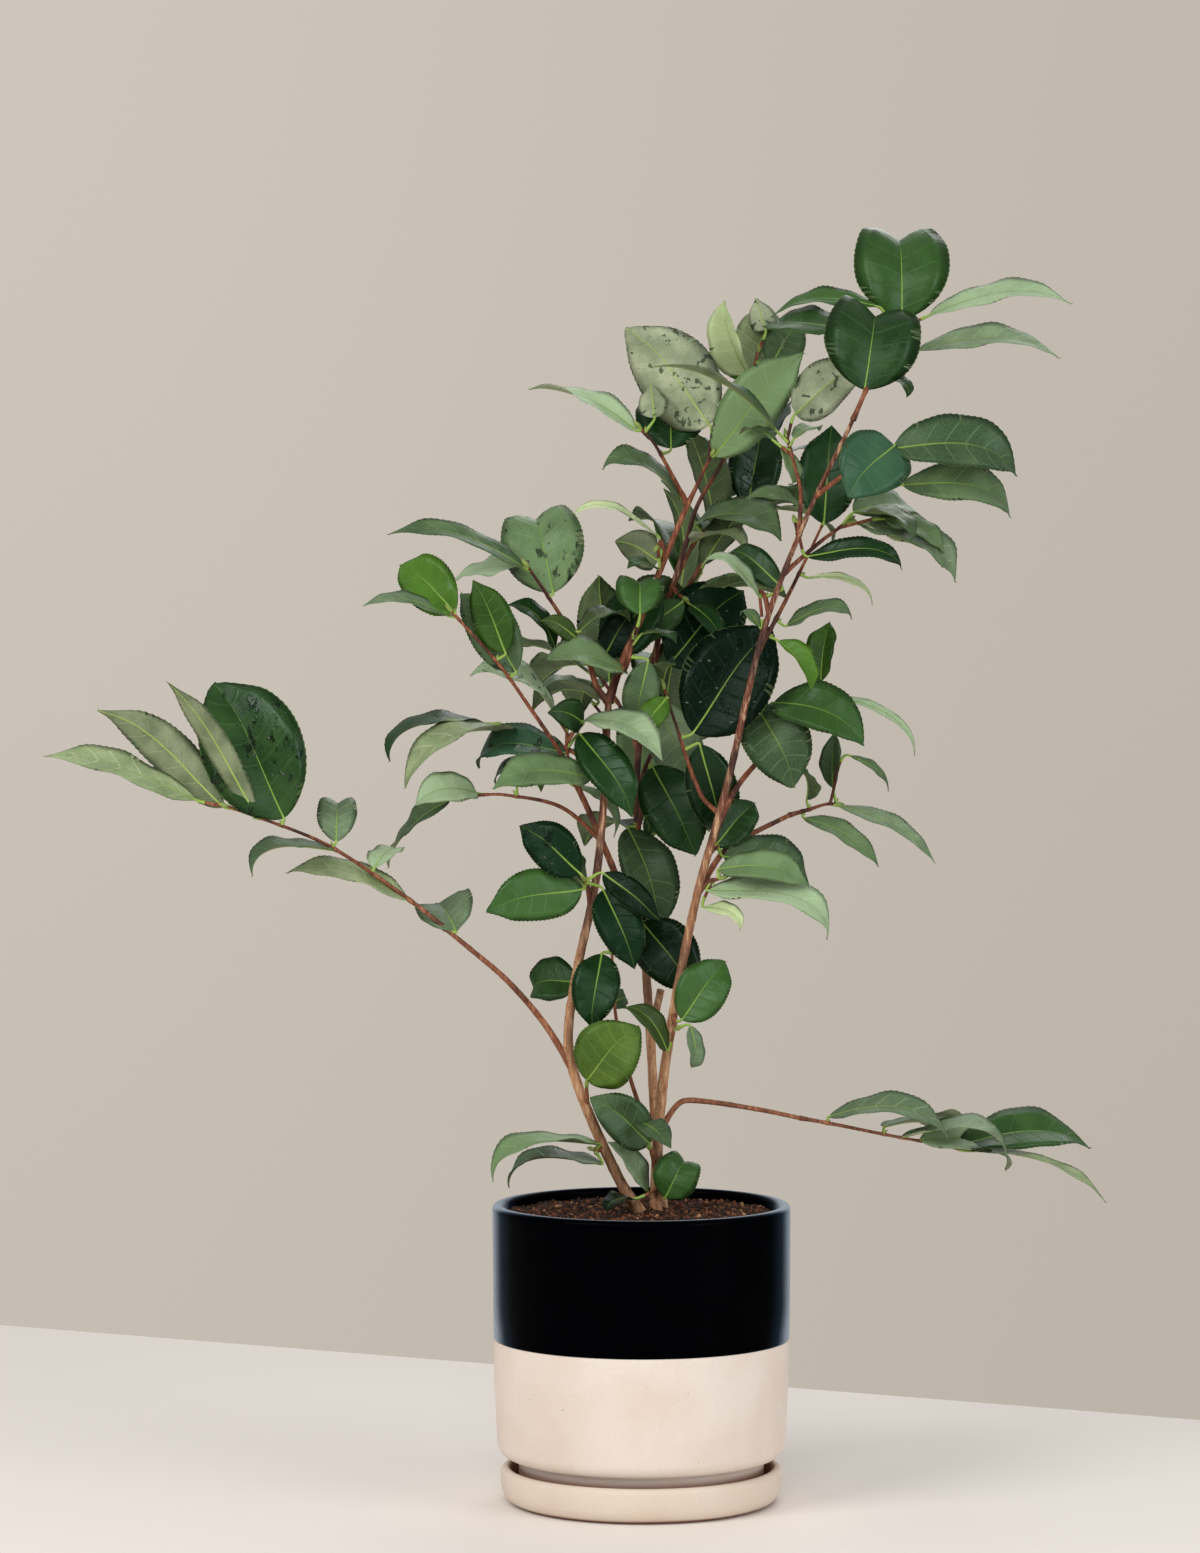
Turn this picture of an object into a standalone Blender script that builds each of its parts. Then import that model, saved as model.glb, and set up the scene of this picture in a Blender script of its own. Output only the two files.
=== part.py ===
"""Potted camellia shrub: three stems from one root, side boughs and leafy shoots.

It grows in a dipped ceramic pot that stands in its saucer. Lengths below are in
millimetres and angles in degrees. Meshes are made in metres. X runs to the
plant's right, Y away from its front, Z up from the underside of the saucer.
"""
import math
import random

import bpy
import bmesh
from mathutils import Matrix, Vector
from mathutils.bvhtree import BVHTree

MM = 0.001
GAP = 0.3                # clearance between neighbouring solids
SEED = 11

# ---- Pot, glaze, saucer and soil ----------------------------------------
ROUND_SIDES = 30
POT_RADIUS = 90.0        # outer radius at the rim
POT_HEIGHT = 180.0       # crest of the rim above the floor
WALL = 6.5
FOOT_RADIUS = 74.0
SHOULDER_RADIUS = 87.0   # where the rounded lower corner meets the wall
SHOULDER_HEIGHT = 36.5
CORNER = 9.0             # radius of that lower corner
FOOT_HEIGHT = 6.0        # underside of the pot, inside the saucer
FLOOR_THICKNESS = 12.0
BORE_CORNER = 40.0       # height where the bore starts to narrow to the pot's floor
GLAZE_LINE = 99.0        # lower edge of the dark glaze
GLAZE_LINE_RADIUS = 89.3
GLAZE_THICKNESS = 0.8
RIM_ROUND = 4.0          # height of the rounded part of the rim
SOIL_TOP = 173.0
SOIL_SHRINK = 4.0        # how much narrower the soil and pot bore are at the bottom
SAUCER_RADIUS = 84.9
SAUCER_HEIGHT = 21.6
SAUCER_BASE_RADIUS = 77.0
SAUCER_FLOOR = 5.7
SAUCER_WELL_RADIUS = 75.6

# ---- Limbs --------------------------------------------------------------
STEM_SIDES = 8
BOUGH_SIDES = 6
TWIG_SIDES = 3
STEM_STEP = 25.0         # spacing of the rings along a limb
BOUGH_STEP = 18.0
TWIG_STEP = 16.0
FLARE = 1.2              # widening of a stem at its foot
FLARE_LENGTH = 22.0
TWIG_FOOT = 1.5          # radius of a leafy shoot where it starts
TWIG_TIP = 0.8
TIP = None               # a limb or shoot with this start grows on from its parent's tip

# name: (parent, start height on the parent, foot radius, tip radius, points)
LIMBS = {
    "stem_left": (None, None, 4.3, 2.6, (
        (0, 0, 173), (-13, -3, 194), (-36, -9, 246), (-44, -10, 276), (-40, -8, 315),
        (-28, -2, 372), (-23, 3, 420), (-20, 5, 482))),
    "stem_right": (None, None, 4.3, 1.5, (
        (9, 8, 173), (9, 5, 199), (14, -3, 262), (31, -17, 358), (51, -28, 434),
        (72, -40, 525), (97, -48, 592), (124, -53, 649))),
    "stem_back": (None, None, 4.1, 2.0, (
        (13, 20, 173), (9, 26, 221), (5, 36, 291), (0, 46, 367), (-2, 54, 445), (12, 60, 526),
        (27, 62, 577))),
    "bough_left_low": ("stem_left", 273, 2.0, 1.4, (
        (-58, -12, 289), (-80, -26, 316), (-102, -38, 336), (-116, -45, 348))),
    "bough_right_low": ("stem_right", 235, 1.8, 1.3, (
        (23, 6, 240), (34, 11, 241), (72, 27, 234), (97, 36, 228))),
    "bough_left_mid": ("stem_back", 340, 2.3, 1.7, (
        (-9, 32, 363), (-21, 20, 391), (-32, 11, 417), (-39, 6, 432))),
    "bough_leader": ("stem_left", TIP, 2.5, 1.6, (
        (-14, 9, 500), (0, 15, 534), (15, 20, 571), (28, 22, 602))),
    "bough_left_fork": ("stem_left", 472, 1.9, 1.4, (
        (-27, 3, 492), (-33, 3, 510), (-42, 3, 523))),
    "bough_right_mid": ("stem_right", 398, 1.9, 1.4, (
        (51, -8, 420), (62, 6, 437), (88, 34, 463))),
    "bough_right_out": ("stem_right", 380, 1.9, 1.4, (
        (48, -6, 391), (62, 12, 400), (91, 44, 413))),
}

# ---- Leaves -------------------------------------------------------------
# How a blade is held: how far its tip curls down, how late along the blade it does so, how
# steeply its halves fold up from the midrib, how much they cup back, and its twist.
FORMS = {
    "flat": (18, 1.5, 8, 0.0, 0),
    "arch": (48, 1.4, 14, 0.05, 0),
    "droop": (80, 1.6, 18, 0.05, 0),
    "hook": (105, 3.0, 16, 0.05, 0),
    "heart": (125, 2.2, 34, 0.50, 0),
    "cup": (30, 1.2, 30, 0.15, 0),
    "twist": (45, 1.5, 20, 0.05, 70),
    "fold": (55, 1.5, 42, 0.0, 0),
}
# Which way the upper side of a blade looks.
FACINGS = {
    "front": (0, -1, 0.1),
    "tilt": (0, -1, 0.6),
    "slant": (0, -0.7, 1),
    "sky": (0, -0.15, 1),
    "back": (0, 1, 0.15),
    "left": (-0.7, -1, 0.2),
    "right": (0.7, -1, 0.2),
}
BLADE_RISE = 0.62        # how bluntly a blade widens from its stalk
BLADE_FALL = 0.92        # how sharply it narrows to its tip
BLADE_STATIONS = (0.22, 0.6)
CURLED_STATIONS = (0.2, 0.5, 0.8)
CURLED = 60              # a blade that curls down more than this has the extra section
BLADE_WIDTH = 0.5        # breadth over length of a leaf grown by the rule
BLADE_THICKNESS = 0.013  # of its length
STALK_RADIUS = 0.9
SHORT_STALK = 2.5        # a stalk is at least this long
SIDE_TWIG = 13.0         # a stalk longer than this starts as a side twig
SIDE_TWIG_RADIUS = 1.0

# ---- Leafy shoots, each one mass of foliage ------------------------------
# name: (parent, start height on the parent, points, leaves, leaves grown by the rule)
# A leaf: where its blade starts (x, z), how far the blade reaches (x, y, z), which way it
# faces, its form and its breadth over its length.
SHOOTS = {
    "left_low": ("bough_left_low", TIP, (
        (-131, -51, 361), (-172, -64, 391), (-195, -71, 404), (-242, -83, 422)), (
        (-261, 426, -87, -16, 28, "slant", "flat", 0.28),
        (-245, 422, -75, 19, 58, "back", "flat", 0.27),
        (-225, 415, -50, -42, 81, "back", "flat", 0.15),
        (-210, 415, -42, 8, 80, "front", "cup", 0.74),
        (-180, 401, 0, 27, 18, "front", "heart", 0.62),
        (-181, 396, -49, -14, -15, "sky", "hook", 0.50),
        (-158, 385, 14, 34, 10, "sky", "arch", 0.50),
        (-138, 366, -73, -16, 17, "slant", "arch", 0.28),
        (-110, 347, -14, 36, 15, "front", "cup", 0.80),
    ), 0),
    "right_low": ("bough_right_low", TIP, ((116, 42, 224), (160, 55, 214), (191, 62, 208)), (
        (115, 231, 74, -13, -12, "slant", "droop", 0.31),
        (160, 214, 65, -32, -12, "sky", "hook", 0.42),
        (172, 212, 57, 31, -24, "slant", "hook", 0.42),
        (150, 221, 59, 43, -18, "sky", "arch", 0.50),
        (196, 212, 85, 22, 0, "slant", "arch", 0.46),
        (202, 205, 85, -20, -29, "sky", "arch", 0.17),
    ), 0),
    "crown_right": ("stem_right", TIP, ((132, -50, 667), (141, -28, 685), (153, -6, 706)), (
        (131, 667, 9, 42, 51, "front", "heart", 0.74),
        (156, 712, 0, 46, 56, "front", "heart", 0.68),
        (172, 714, 86, -7, 7, "slant", "arch", 0.27),
        (165, 693, 88, 13, -4, "slant", "arch", 0.26),
        (144, 675, 13, -14, -13, "sky", "hook", 0.50),
        (141, 719, -64, 24, -4, "slant", "arch", 0.28),
        (118, 705, -46, 31, 4, "slant", "flat", 0.60),
    ), 0),
    "right_upper": ("stem_right", 606, ((119, -60, 617), (128, -70, 621), (138, -78, 624)), (
        (147, 633, -29, -25, -31, "front", "arch", 0.84),
        (146, 631, 74, 7, -16, "tilt", "droop", 0.46),
        (152, 610, 66, 22, -19, "tilt", "droop", 0.36),
    ), 0),
    "right_fan": ("stem_right", 566, ((106, -30, 578), (117, -16, 586), (125, -6, 592)), (
        (131, 589, 58, -6, -35, "slant", "droop", 0.40),
        (132, 590, 51, 12, -26, "slant", "arch", 0.42),
        (127, 596, 42, 28, 0, "slant", "arch", 0.62),
        (127, 596, 34, -18, -18, "sky", "hook", 0.50),
        (145, 592, 37, 23, -19, "slant", "arch", 0.50),
    ), 0),
    "right_inner": ("stem_right", 514, ((84, -26, 540), (100, -4, 571), (109, 8, 589)), (
        (110, 590, 5, 8, 60, "front", "flat", 0.60),
        (100, 557, 40, 0, -16, "slant", "droop", 0.17),
        (86, 528, 40, -4, 4, "slant", "hook", 0.36),
        (81, 519, 20, -6, -30, "right", "fold", 0.50),
    ), 0),
    "crown_mid": ("stem_right", 590, ((94, -36, 608), (91, -26, 623), (87, -16, 640)), (
        (92, 655, 42, 12, 30, "back", "cup", 0.66),
        (80, 645, -76, -59, 35, "slant", "twist", 0.18),
        (91, 640, 18, 21, 7, "sky", "arch", 0.50),
        (83, 635, 6, 9, -23, "slant", "hook", 0.40),
        (78, 639, -18, 24, 6, "sky", "arch", 0.50),
    ), 0),
    "crown_left": ("bough_leader", TIP, ((34, 20, 614), (39, 15, 625), (42, 11, 631)), (
        (44, 631, 55, -17, 60, "front", "flat", 0.42),
        (41, 650, -50, 13, 60, "back", "cup", 0.70),
    ), 0),
    "left_bud": ("bough_leader", 594, ((20, 17, 617), (8, 11, 638), (0, 9, 647)), (
        (18, 636, 0, 32, 17, "front", "heart", 0.90),
        (-3, 646, -66, 6, 27, "slant", "twist", 0.30),
        (8, 654, -3, 23, 21, "back", "flat", 0.60),
        (24, 606, -49, -20, 17, "slant", "hook", 0.40),
    ), 0),
    "leader_spur": ("bough_leader", 574, ((12, 16, 580), (10, 13, 577)), (
        (10, 583, -54, -22, 8, "slant", "hook", 0.15),
        (10, 568, -26, 14, 12, "back", "arch", 0.70),
        (10, 563, -19, -18, 1, "slant", "arch", 0.50),
    ), 0),
    "back_upper": ("stem_back", 562, ((37, 70, 585), (63, 86, 599), (75, 94, 604)), (
        (34, 592, 53, -30, -11, "slant", "droop", 0.50),
        (77, 603, 43, 9, -25, "sky", "hook", 0.40),
        (31, 580, 34, -35, -6, "sky", "droop", 0.50),
        (67, 604, 10, 11, 50, "front", "cup", 0.72),
    ), 0),
    "crown_back": ("stem_back", TIP, (
        (35, 63, 603), (51, 65, 631), (61, 66, 655), (72, 66, 697)), (
        (66, 684, -16, -13, 44, "left", "fold", 0.60),
        (62, 680, -12, 14, 23, "front", "flat", 0.50),
        (80, 689, 19, 19, 28, "front", "flat", 0.70),
        (77, 711, -7, 17, 20, "back", "arch", 0.60),
        (69, 685, 12, 20, 43, "front", "flat", 0.60),
    ), 0),
    "left_mid": ("bough_left_fork", TIP, ((-49, -4, 535), (-63, -19, 556), (-68, -25, 563)), (
        (-53, 548, -11, 30, 42, "front", "heart", 0.80),
        (-69, 562, -83, -12, 21, "slant", "arch", 0.22),
        (-75, 564, -40, 28, -8, "slant", "flat", 0.50),
        (-52, 514, -30, -8, 28, "slant", "droop", 0.40),
        (-39, 521, -22, -12, 12, "front", "arch", 0.42),
        (-37, 525, 31, 22, 7, "sky", "droop", 0.50),
    ), 0),
    "left_up": ("bough_left_mid", TIP, (
        (-47, -2, 449), (-70, -26, 484), (-84, -40, 504), (-112, -64, 536)), (
        (-110, 536, -34, 20, 28, "front", "cup", 0.72),
        (-115, 534, -49, -18, 6, "slant", "arch", 0.26),
        (-117, 541, -24, 20, 5, "sky", "arch", 0.50),
        (-81, 512, -19, -16, 43, "front", "flat", 0.50),
        (-75, 501, -32, 10, 48, "front", "cup", 0.58),
    ), 0),
    "left_bud_low": ("bough_left_mid", 422, ((-43, 10, 444), (-45, 10, 454), (-45, 10, 464)), (
        (-52, 475, -52, -27, 25, "slant", "droop", 0.42),
        (-35, 470, -21, -23, 7, "front", "arch", 0.60),
        (-35, 471, 47, -34, -24, "slant", "droop", 0.38),
        (-37, 463, 33, -17, -49, "front", "arch", 0.42),
        (-42, 432, 27, -31, -32, "slant", "droop", 0.50),
    ), 0),
    "left_shelf": ("stem_left", 432, ((-40, 22, 451), (-71, 50, 464), (-85, 60, 468)), (
        (-96, 469, -59, -17, -24, "sky", "hook", 0.44),
        (-73, 463, -71, -57, -33, "sky", "droop", 0.36),
        (-45, 451, -55, 18, -10, "slant", "hook", 0.50),
        (-45, 438, -45, 18, -7, "slant", "hook", 0.40),
        (-31, 437, -59, -28, -5, "slant", "arch", 0.40),
    ), 0),
    "left_thin": ("bough_left_mid", 406, ((-49, 14, 419), (-83, 22, 426), (-97, 26, 426)), (
        (-100, 427, -37, -22, -7, "tilt", "droop", 0.50),
        (-116, 423, -41, 21, -43, "slant", "twist", 0.34),
        (-75, 432, 14, 31, -4, "sky", "fold", 0.60),
    ), 0),
    "fork_left": ("stem_left", 466, ((-24, 15, 474), (-28, 22, 480)), (
        (-26, 483, -34, -32, 6, "sky", "hook", 0.68),
    ), 0),
    "leader_front": ("bough_leader", 500, ((-9, 2, 504), (-5, -1, 520)), (
        (-1, 535, 0, 27, 15, "front", "heart", 0.80),
        (1, 524, 20, -19, -5, "sky", "arch", 0.50),
        (-9, 500, -48, -18, 8, "slant", "arch", 0.64),
        (4, 507, -7, 12, -35, "front", "droop", 0.55),
    ), 0),
    "leader_behind": ("bough_leader", 494, ((-19, 18, 504), (-21, 24, 509)), (
        (-21, 511, 34, 14, 40, "front", "flat", 0.66),
        (-23, 509, 18, 3, 28, "front", "flat", 0.60),
    ), 1),
    "back_spur": ("stem_back", 548, ((23, 54, 548), (26, 48, 546)), (
        (26, 544, -31, -7, -28, "front", "flat", 0.50),
        (30, 542, 19, -14, -22, "slant", "arch", 0.50),
    ), 0),
    "back_big": ("stem_back", 490, ((9, 48, 498), (13, 42, 502)), (
        (17, 505, 47, 9, 46, "front", "flat", 0.68),
        (9, 483, 22, 14, -55, "front", "flat", 0.55),
    ), 0),
    "inner_right": ("stem_right", 405, ((35, -10, 428), (20, 0, 471), (14, 4, 490)), (
        (31, 464, 49, 11, 63, "front", "flat", 0.70),
        (9, 490, -12, -16, -19, "front", "droop", 0.85),
        (13, 490, 6, -21, 16, "slant", "fold", 0.70),
        (15, 485, -16, -8, -23, "front", "arch", 0.55),
        (35, 457, 14, 21, -57, "front", "flat", 0.50),
    ), 0),
    "right_mid": ("bough_right_mid", TIP, ((97, 44, 473), (105, 52, 482), (111, 58, 489)), (
        (111, 495, 6, 10, 37, "left", "cup", 0.62),
        (116, 485, 54, -6, -36, "slant", "droop", 0.12),
    ), 0),
    "right_mid_spur": ("bough_right_mid", 448, ((74, 18, 462), (73, 16, 474)), (
        (80, 482, 54, -22, -26, "tilt", "droop", 0.50),
        (70, 480, 23, -15, -49, "front", "arch", 0.72),
        (65, 453, 20, 17, -5, "slant", "arch", 0.70),
    ), 0),
    "right_out": ("bough_right_out", TIP, ((103, 54, 416), (114, 63, 419), (121, 69, 419)), (
        (119, 429, 2, 7, 35, "left", "cup", 0.46),
        (100, 411, 46, -10, -30, "slant", "arch", 0.30),
        (122, 418, 60, -6, -36, "slant", "arch", 0.20),
        (102, 422, -4, -15, 18, "slant", "fold", 0.60),
        (129, 449, 26, 9, -22, "slant", "arch", 0.24),
    ), 0),
    "right_fork_spur": ("stem_right", 391, ((43, -14, 394), (46, -6, 396)), (
        (49, 390, 54, 26, -21, "tilt", "arch", 0.55),
        (44, 396, 26, 10, 25, "front", "cup", 0.70),
    ), 0),
    "right_hooks": ("stem_right", 370, ((40, -20, 375), (46, -22, 377)), (
        (46, 383, 54, -9, -12, "tilt", "droop", 0.36),
        (39, 370, 73, -7, -29, "slant", "hook", 0.30),
        (37, 360, 23, -15, -13, "slant", "hook", 0.38),
    ), 0),
    "right_high_spur": ("stem_right", 541, ((72, -38, 547), (68, -34, 550)), (
        (70, 545, -35, -7, 21, "slant", "hook", 0.30),
        (83, 551, -31, 23, 23, "front", "arch", 0.38),
        (70, 527, -11, 10, 9, "slant", "hook", 0.40),
    ), 0),
    "right_crest_spur": ("stem_right", 578, ((92, -38, 584), (91, -33, 589)), (
        (98, 595, -38, -14, 7, "slant", "droop", 0.36),
        (98, 569, 56, -8, -9, "tilt", "hook", 0.24),
    ), 0),
    "left_glossy": ("stem_left", 371, ((-33, -8, 374), (-34, -14, 376)), (
        (-36, 370, -57, -17, -14, "front", "flat", 0.52),
        (-37, 380, -37, 12, 28, "front", "flat", 0.60),
        (-34, 372, -22, 29, 14, "back", "flat", 0.60),
        (-23, 370, 19, -14, -47, "front", "arch", 0.52),
        (-23, 380, 33, -6, -30, "front", "arch", 0.36),
    ), 0),
    "back_low_leaf": ("stem_back", 318, ((2, 32, 326), (2, 26, 336)), (
        (1, 348, 29, -11, -41, "front", "arch", 0.72),
    ), 0),
    "back_high_leaves": ("stem_back", 400, ((-1, 42, 408), (2, 37, 428), (5, 33, 441)), (
        (-8, 405, 17, -5, -64, "front", "droop", 0.50),
        (8, 416, -4, 3, -16, "front", "arch", 0.50),
        (7, 443, 25, -11, -55, "front", "arch", 0.62),
    ), 0),
    "inner_twig": ("stem_back", 224, ((-1, 20, 237), (-15, 6, 290), (-18, 0, 336)), (
        (-24, 331, -7, -12, -44, "front", "arch", 0.62),
        (-19, 300, 11, 10, 3, "front", "arch", 0.70),
        (-18, 336, 17, 31, 32, "front", "flat", 0.60),
    ), 0),
    "left_low_leaf": ("stem_left", 243, ((-33, -14, 248), (-33, -18, 252)), (
        (-33, 256, 31, -10, 34, "front", "arch", 0.85),
    ), 0),
    "left_knot_leaf": ("stem_left", 308, ((-41, 2, 311), (-40, 8, 312)), (
        (-38, 313, -28, 11, -7, "tilt", "hook", 0.86),
    ), 0),
    "foot_left": ("stem_left", 208, ((-26, -9, 213), (-29, -13, 214)), (
        (-25, 217, -65, -22, -21, "sky", "hook", 0.35),
        (-24, 205, -57, 10, -16, "sky", "hook", 0.42),
    ), 0),
    "foot_right": ("stem_right", 190, ((13, 0, 191), (16, -4, 190)), (
        (14, 184, 12, 12, 20, "front", "heart", 0.90),
        (4, 187, -25, -3, 31, "slant", "arch", 0.42),
        (-5, 184, -16, -10, -7, "sky", "hook", 0.80),
    ), 0),
    "foot_mid": ("stem_right", 208, ((6, -4, 212), (5, -8, 214)), (
        (5, 217, -36, -10, 29, "front", "cup", 0.66),
        (-1, 230, 17, -23, -13, "slant", "arch", 0.50),
        (-1, 234, -26, -18, 1, "slant", "twist", 0.50),
    ), 0),
    "right_low_spur": ("stem_right", 287, ((20, -16, 289), (21, -21, 288)), (
        (24, 292, 28, 9, 34, "front", "cup", 0.78),
        (29, 289, 0, -2, -26, "right", "hook", 0.42),
        (15, 274, -26, -7, 28, "right", "droop", 0.36),
    ), 0),
    # Shoots on the far side of the crown.
    "rear_low": ("stem_back", 380, ((-2, 72, 396), (2, 98, 414), (8, 128, 424)), (), 7),
    "rear_mid": ("stem_back", 432, ((8, 78, 452), (22, 104, 470), (40, 130, 480)), (), 8),
    "rear_left": ("stem_back", 460, ((-12, 76, 478), (-24, 98, 496), (-34, 122, 508)), (), 7),
    "rear_high": ("stem_back", 505, ((22, 82, 534), (31, 106, 552), (38, 130, 562)), (), 8),
    "rear_top": ("stem_back", 538, ((46, 78, 580), (60, 93, 608), (70, 108, 630)), (), 7),
}
FINE_STEP = 0.2          # spacing that finds where a limb leaves its parent's surface
HEADING_POINTS = 15      # so many fine steps out, its direction is read
SPINE_STEPS = 24         # pieces in the curve of a midrib

# ---- The rule that places leaves -----------------------------------------
CLEARANCE = 0.5          # a leaf keeps this far from other masses and limbs
STALK_CLEAR = 3.0        # no stalk starts nearer than this to the foot of its shoot
ROOT_SPACING = 2.4       # between the stalks of one shoot
STALK_STEP = 1.5         # spacing of the places where a stalk may start
# A leaf that would touch swings nearer or farther, moves in depth, rolls, then turns, in the
# smallest steps.
SWING_STEP = 0.14        # of the blade's reach
SHIFT_STEP = 5.0
ROLL_STEP = 18.0
TURN_STEP = 9.0
SWINGS = (0, 1, -1, 2, -2, 3, -3, 4, -4, 5, -5)
SHIFTS = (0, 1, -1, 2, -2)
ROLLS = (0, 1, -1, 2, -2)
TURNS = (0, 1, -1, 2, -2)
# Leaves grown by the rule stand round their shoot in a spiral.
SPIRAL = 137.5
OPENING = 62.0           # between the shoot and a blade
RULE_LENGTH = (56.0, 80.0)
RULE_STALK = 7.0
RULE_FORMS = ("flat", "arch", "arch", "droop", "cup")
RULE_START = 0.25        # the first such leaf stands this far along its shoot


def curve_through(points, step):
    """Points about one step apart on a smooth curve through the given ones."""
    knots = [Vector(point) for point in points]
    knots = [2 * knots[0] - knots[1]] + knots + [2 * knots[-1] - knots[-2]]
    result = []
    for before, start, end, after in zip(knots, knots[1:], knots[2:], knots[3:]):
        span = (end - start).length
        leave = (end - before) * span / ((start - before).length + span)
        arrive = (after - start) * span / ((after - end).length + span)
        count = max(1, round(span / step))
        for index in range(count):
            t = index / count
            result.append(start * (2 * t**3 - 3 * t**2 + 1) + leave * (t**3 - 2 * t**2 + t)
                          + end * (3 * t**2 - 2 * t**3) + arrive * (t**3 - t**2))
    return result + [knots[-2]]


def lengths_along(path):
    """Distance of each path point from the first."""
    total = [0.0]
    for start, end in zip(path, path[1:]):
        total.append(total[-1] + (end - start).length)
    return total


def direction_at(path, index):
    """Unit tangent of a path at one of its points."""
    first = path[max(index - 1, 0)]
    last = path[min(index + 1, len(path) - 1)]
    return (last - first).normalized()


def resample(path, step):
    """The same path with evenly spaced points, about one step apart."""
    total = lengths_along(path)
    count = max(2, round(total[-1] / step))
    result = []
    place = 0
    for index in range(count):
        wanted = total[-1] * index / count
        while total[place + 1] < wanted:
            place += 1
        part = (wanted - total[place]) / (total[place + 1] - total[place])
        result.append(path[place].lerp(path[place + 1], part))
    return result + [path[-1]]


class Limb:
    """A tapering limb along a smooth curve, with a flat foot."""

    def __init__(self, path, foot_radius, tip_radius, foot_point, foot_normal, flare=1.0):
        self.path = path
        self.total = lengths_along(path)
        self.foot_radius = foot_radius
        self.tip_radius = tip_radius
        self.foot_point = foot_point
        self.foot_normal = foot_normal
        self.flare = flare

    def radius_at(self, index):
        """Radius at one of the path's points."""
        part = self.total[index] / self.total[-1]
        radius = self.foot_radius + (self.tip_radius - self.foot_radius) * part
        spread = max(0.0, 1 - self.total[index] / FLARE_LENGTH) ** 2
        return radius * (1 + (self.flare - 1) * spread)

    def index_at_height(self, height):
        """The path point nearest to a height."""
        return min(range(len(self.path)), key=lambda index: abs(self.path[index].z - height))

    def tube(self, sides, extra=0.0):
        """Vertices and faces of the limb, made thicker by extra."""
        tangent = direction_at(self.path, 0)
        across = tangent.cross(Vector((0, 1, 0))).normalized()
        verts = []
        for index, centre in enumerate(self.path):
            turned = direction_at(self.path, index)
            across = tangent.rotation_difference(turned) @ across
            tangent = turned
            radius = self.radius_at(index) + extra
            for side in range(sides):
                angle = math.tau * side / sides
                spoke = Matrix.Rotation(angle, 3, tangent) @ across * radius
                point = centre + spoke
                if index == 0:
                    slip = (self.foot_point - point).dot(self.foot_normal)
                    point += tangent * slip / tangent.dot(self.foot_normal)
                verts.append(point)
        return verts, tube_faces(len(self.path), sides)


def tube_faces(rings, sides):
    """Faces of a capped tube whose rings run counter-clockwise about its direction."""
    faces = [tuple(range(sides))[::-1]]
    for ring in range(rings - 1):
        for side in range(sides):
            following = (side + 1) % sides
            low = ring * sides
            high = low + sides
            faces.append((low + side, low + following, high + following, high + side))
    faces.append(tuple(range((rings - 1) * sides, rings * sides)))
    return faces


def start_limb(parent, height, points, foot_radius, tip_radius, step):
    """A limb that grows from a parent's tip, or from its side at a height."""
    if height is TIP:
        index = len(parent.path) - 1
        normal = direction_at(parent.path, index)
        foot = parent.path[index] + normal * GAP
        path = resample(curve_through([foot] + list(points), 2), step)
        return Limb(path, foot_radius, tip_radius, foot, normal)
    index = parent.index_at_height(height)
    start = parent.path[index]
    path = curve_through([start] + list(points), FINE_STEP)
    heading = path[HEADING_POINTS] - start
    upward = heading.dot(direction_at(parent.path, index)) > 0 and index < len(parent.path) - 1
    axis = (parent.path[index + 1 if upward else index - 1] - start).normalized()
    normal = (heading - axis * heading.dot(axis)).normalized()
    reach = parent.radius_at(index) + GAP
    path = [point for point in path if (point - start).dot(normal) >= reach]
    path = resample(path, step)
    return Limb(path, foot_radius, tip_radius, path[0], normal)


def grow_limbs():
    """All stems and boughs by name, parents before children."""
    limbs = {}
    for name, (parent, height, foot_radius, tip_radius, points) in LIMBS.items():
        if parent is None:
            foot = Vector(points[0]) + Vector((0, 0, GAP))
            path = resample(curve_through([foot] + list(points[1:]), 4), STEM_STEP)
            limbs[name] = Limb(path, foot_radius, tip_radius, foot, Vector((0, 0, 1)), FLARE)
        else:
            limbs[name] = start_limb(limbs[parent], height, points, foot_radius, tip_radius,
                                     BOUGH_STEP)
    return limbs


def spine_of(form):
    """A unit blade's midrib: places along and above its chord, its slopes and chord."""
    curl, lateness = FORMS[form][:2]
    along, above = [0.0], [0.0]
    slopes = [-math.radians(curl) * (index / SPINE_STEPS) ** lateness
              for index in range(SPINE_STEPS + 1)]
    for low, high in zip(slopes, slopes[1:]):
        along.append(along[-1] + math.cos((low + high) / 2) / SPINE_STEPS)
        above.append(above[-1] + math.sin((low + high) / 2) / SPINE_STEPS)
    tilt = math.atan2(above[-1], along[-1])
    chord = math.hypot(along[-1], above[-1])
    level = [(x * math.cos(tilt) + z * math.sin(tilt), z * math.cos(tilt) - x * math.sin(tilt))
             for x, z in zip(along, above)]
    return level, [slope - tilt for slope in slopes], chord


SPINES = {form: spine_of(form) for form in FORMS}


def half_width(u):
    """Outline of a blade, 0 at its stalk and tip and 1 at its widest."""
    widest = BLADE_RISE / (BLADE_RISE + BLADE_FALL)
    u = min(max(u, 1e-6), 1 - 1e-6)
    return (u / widest) ** BLADE_RISE * ((1 - u) / (1 - widest)) ** BLADE_FALL


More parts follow.
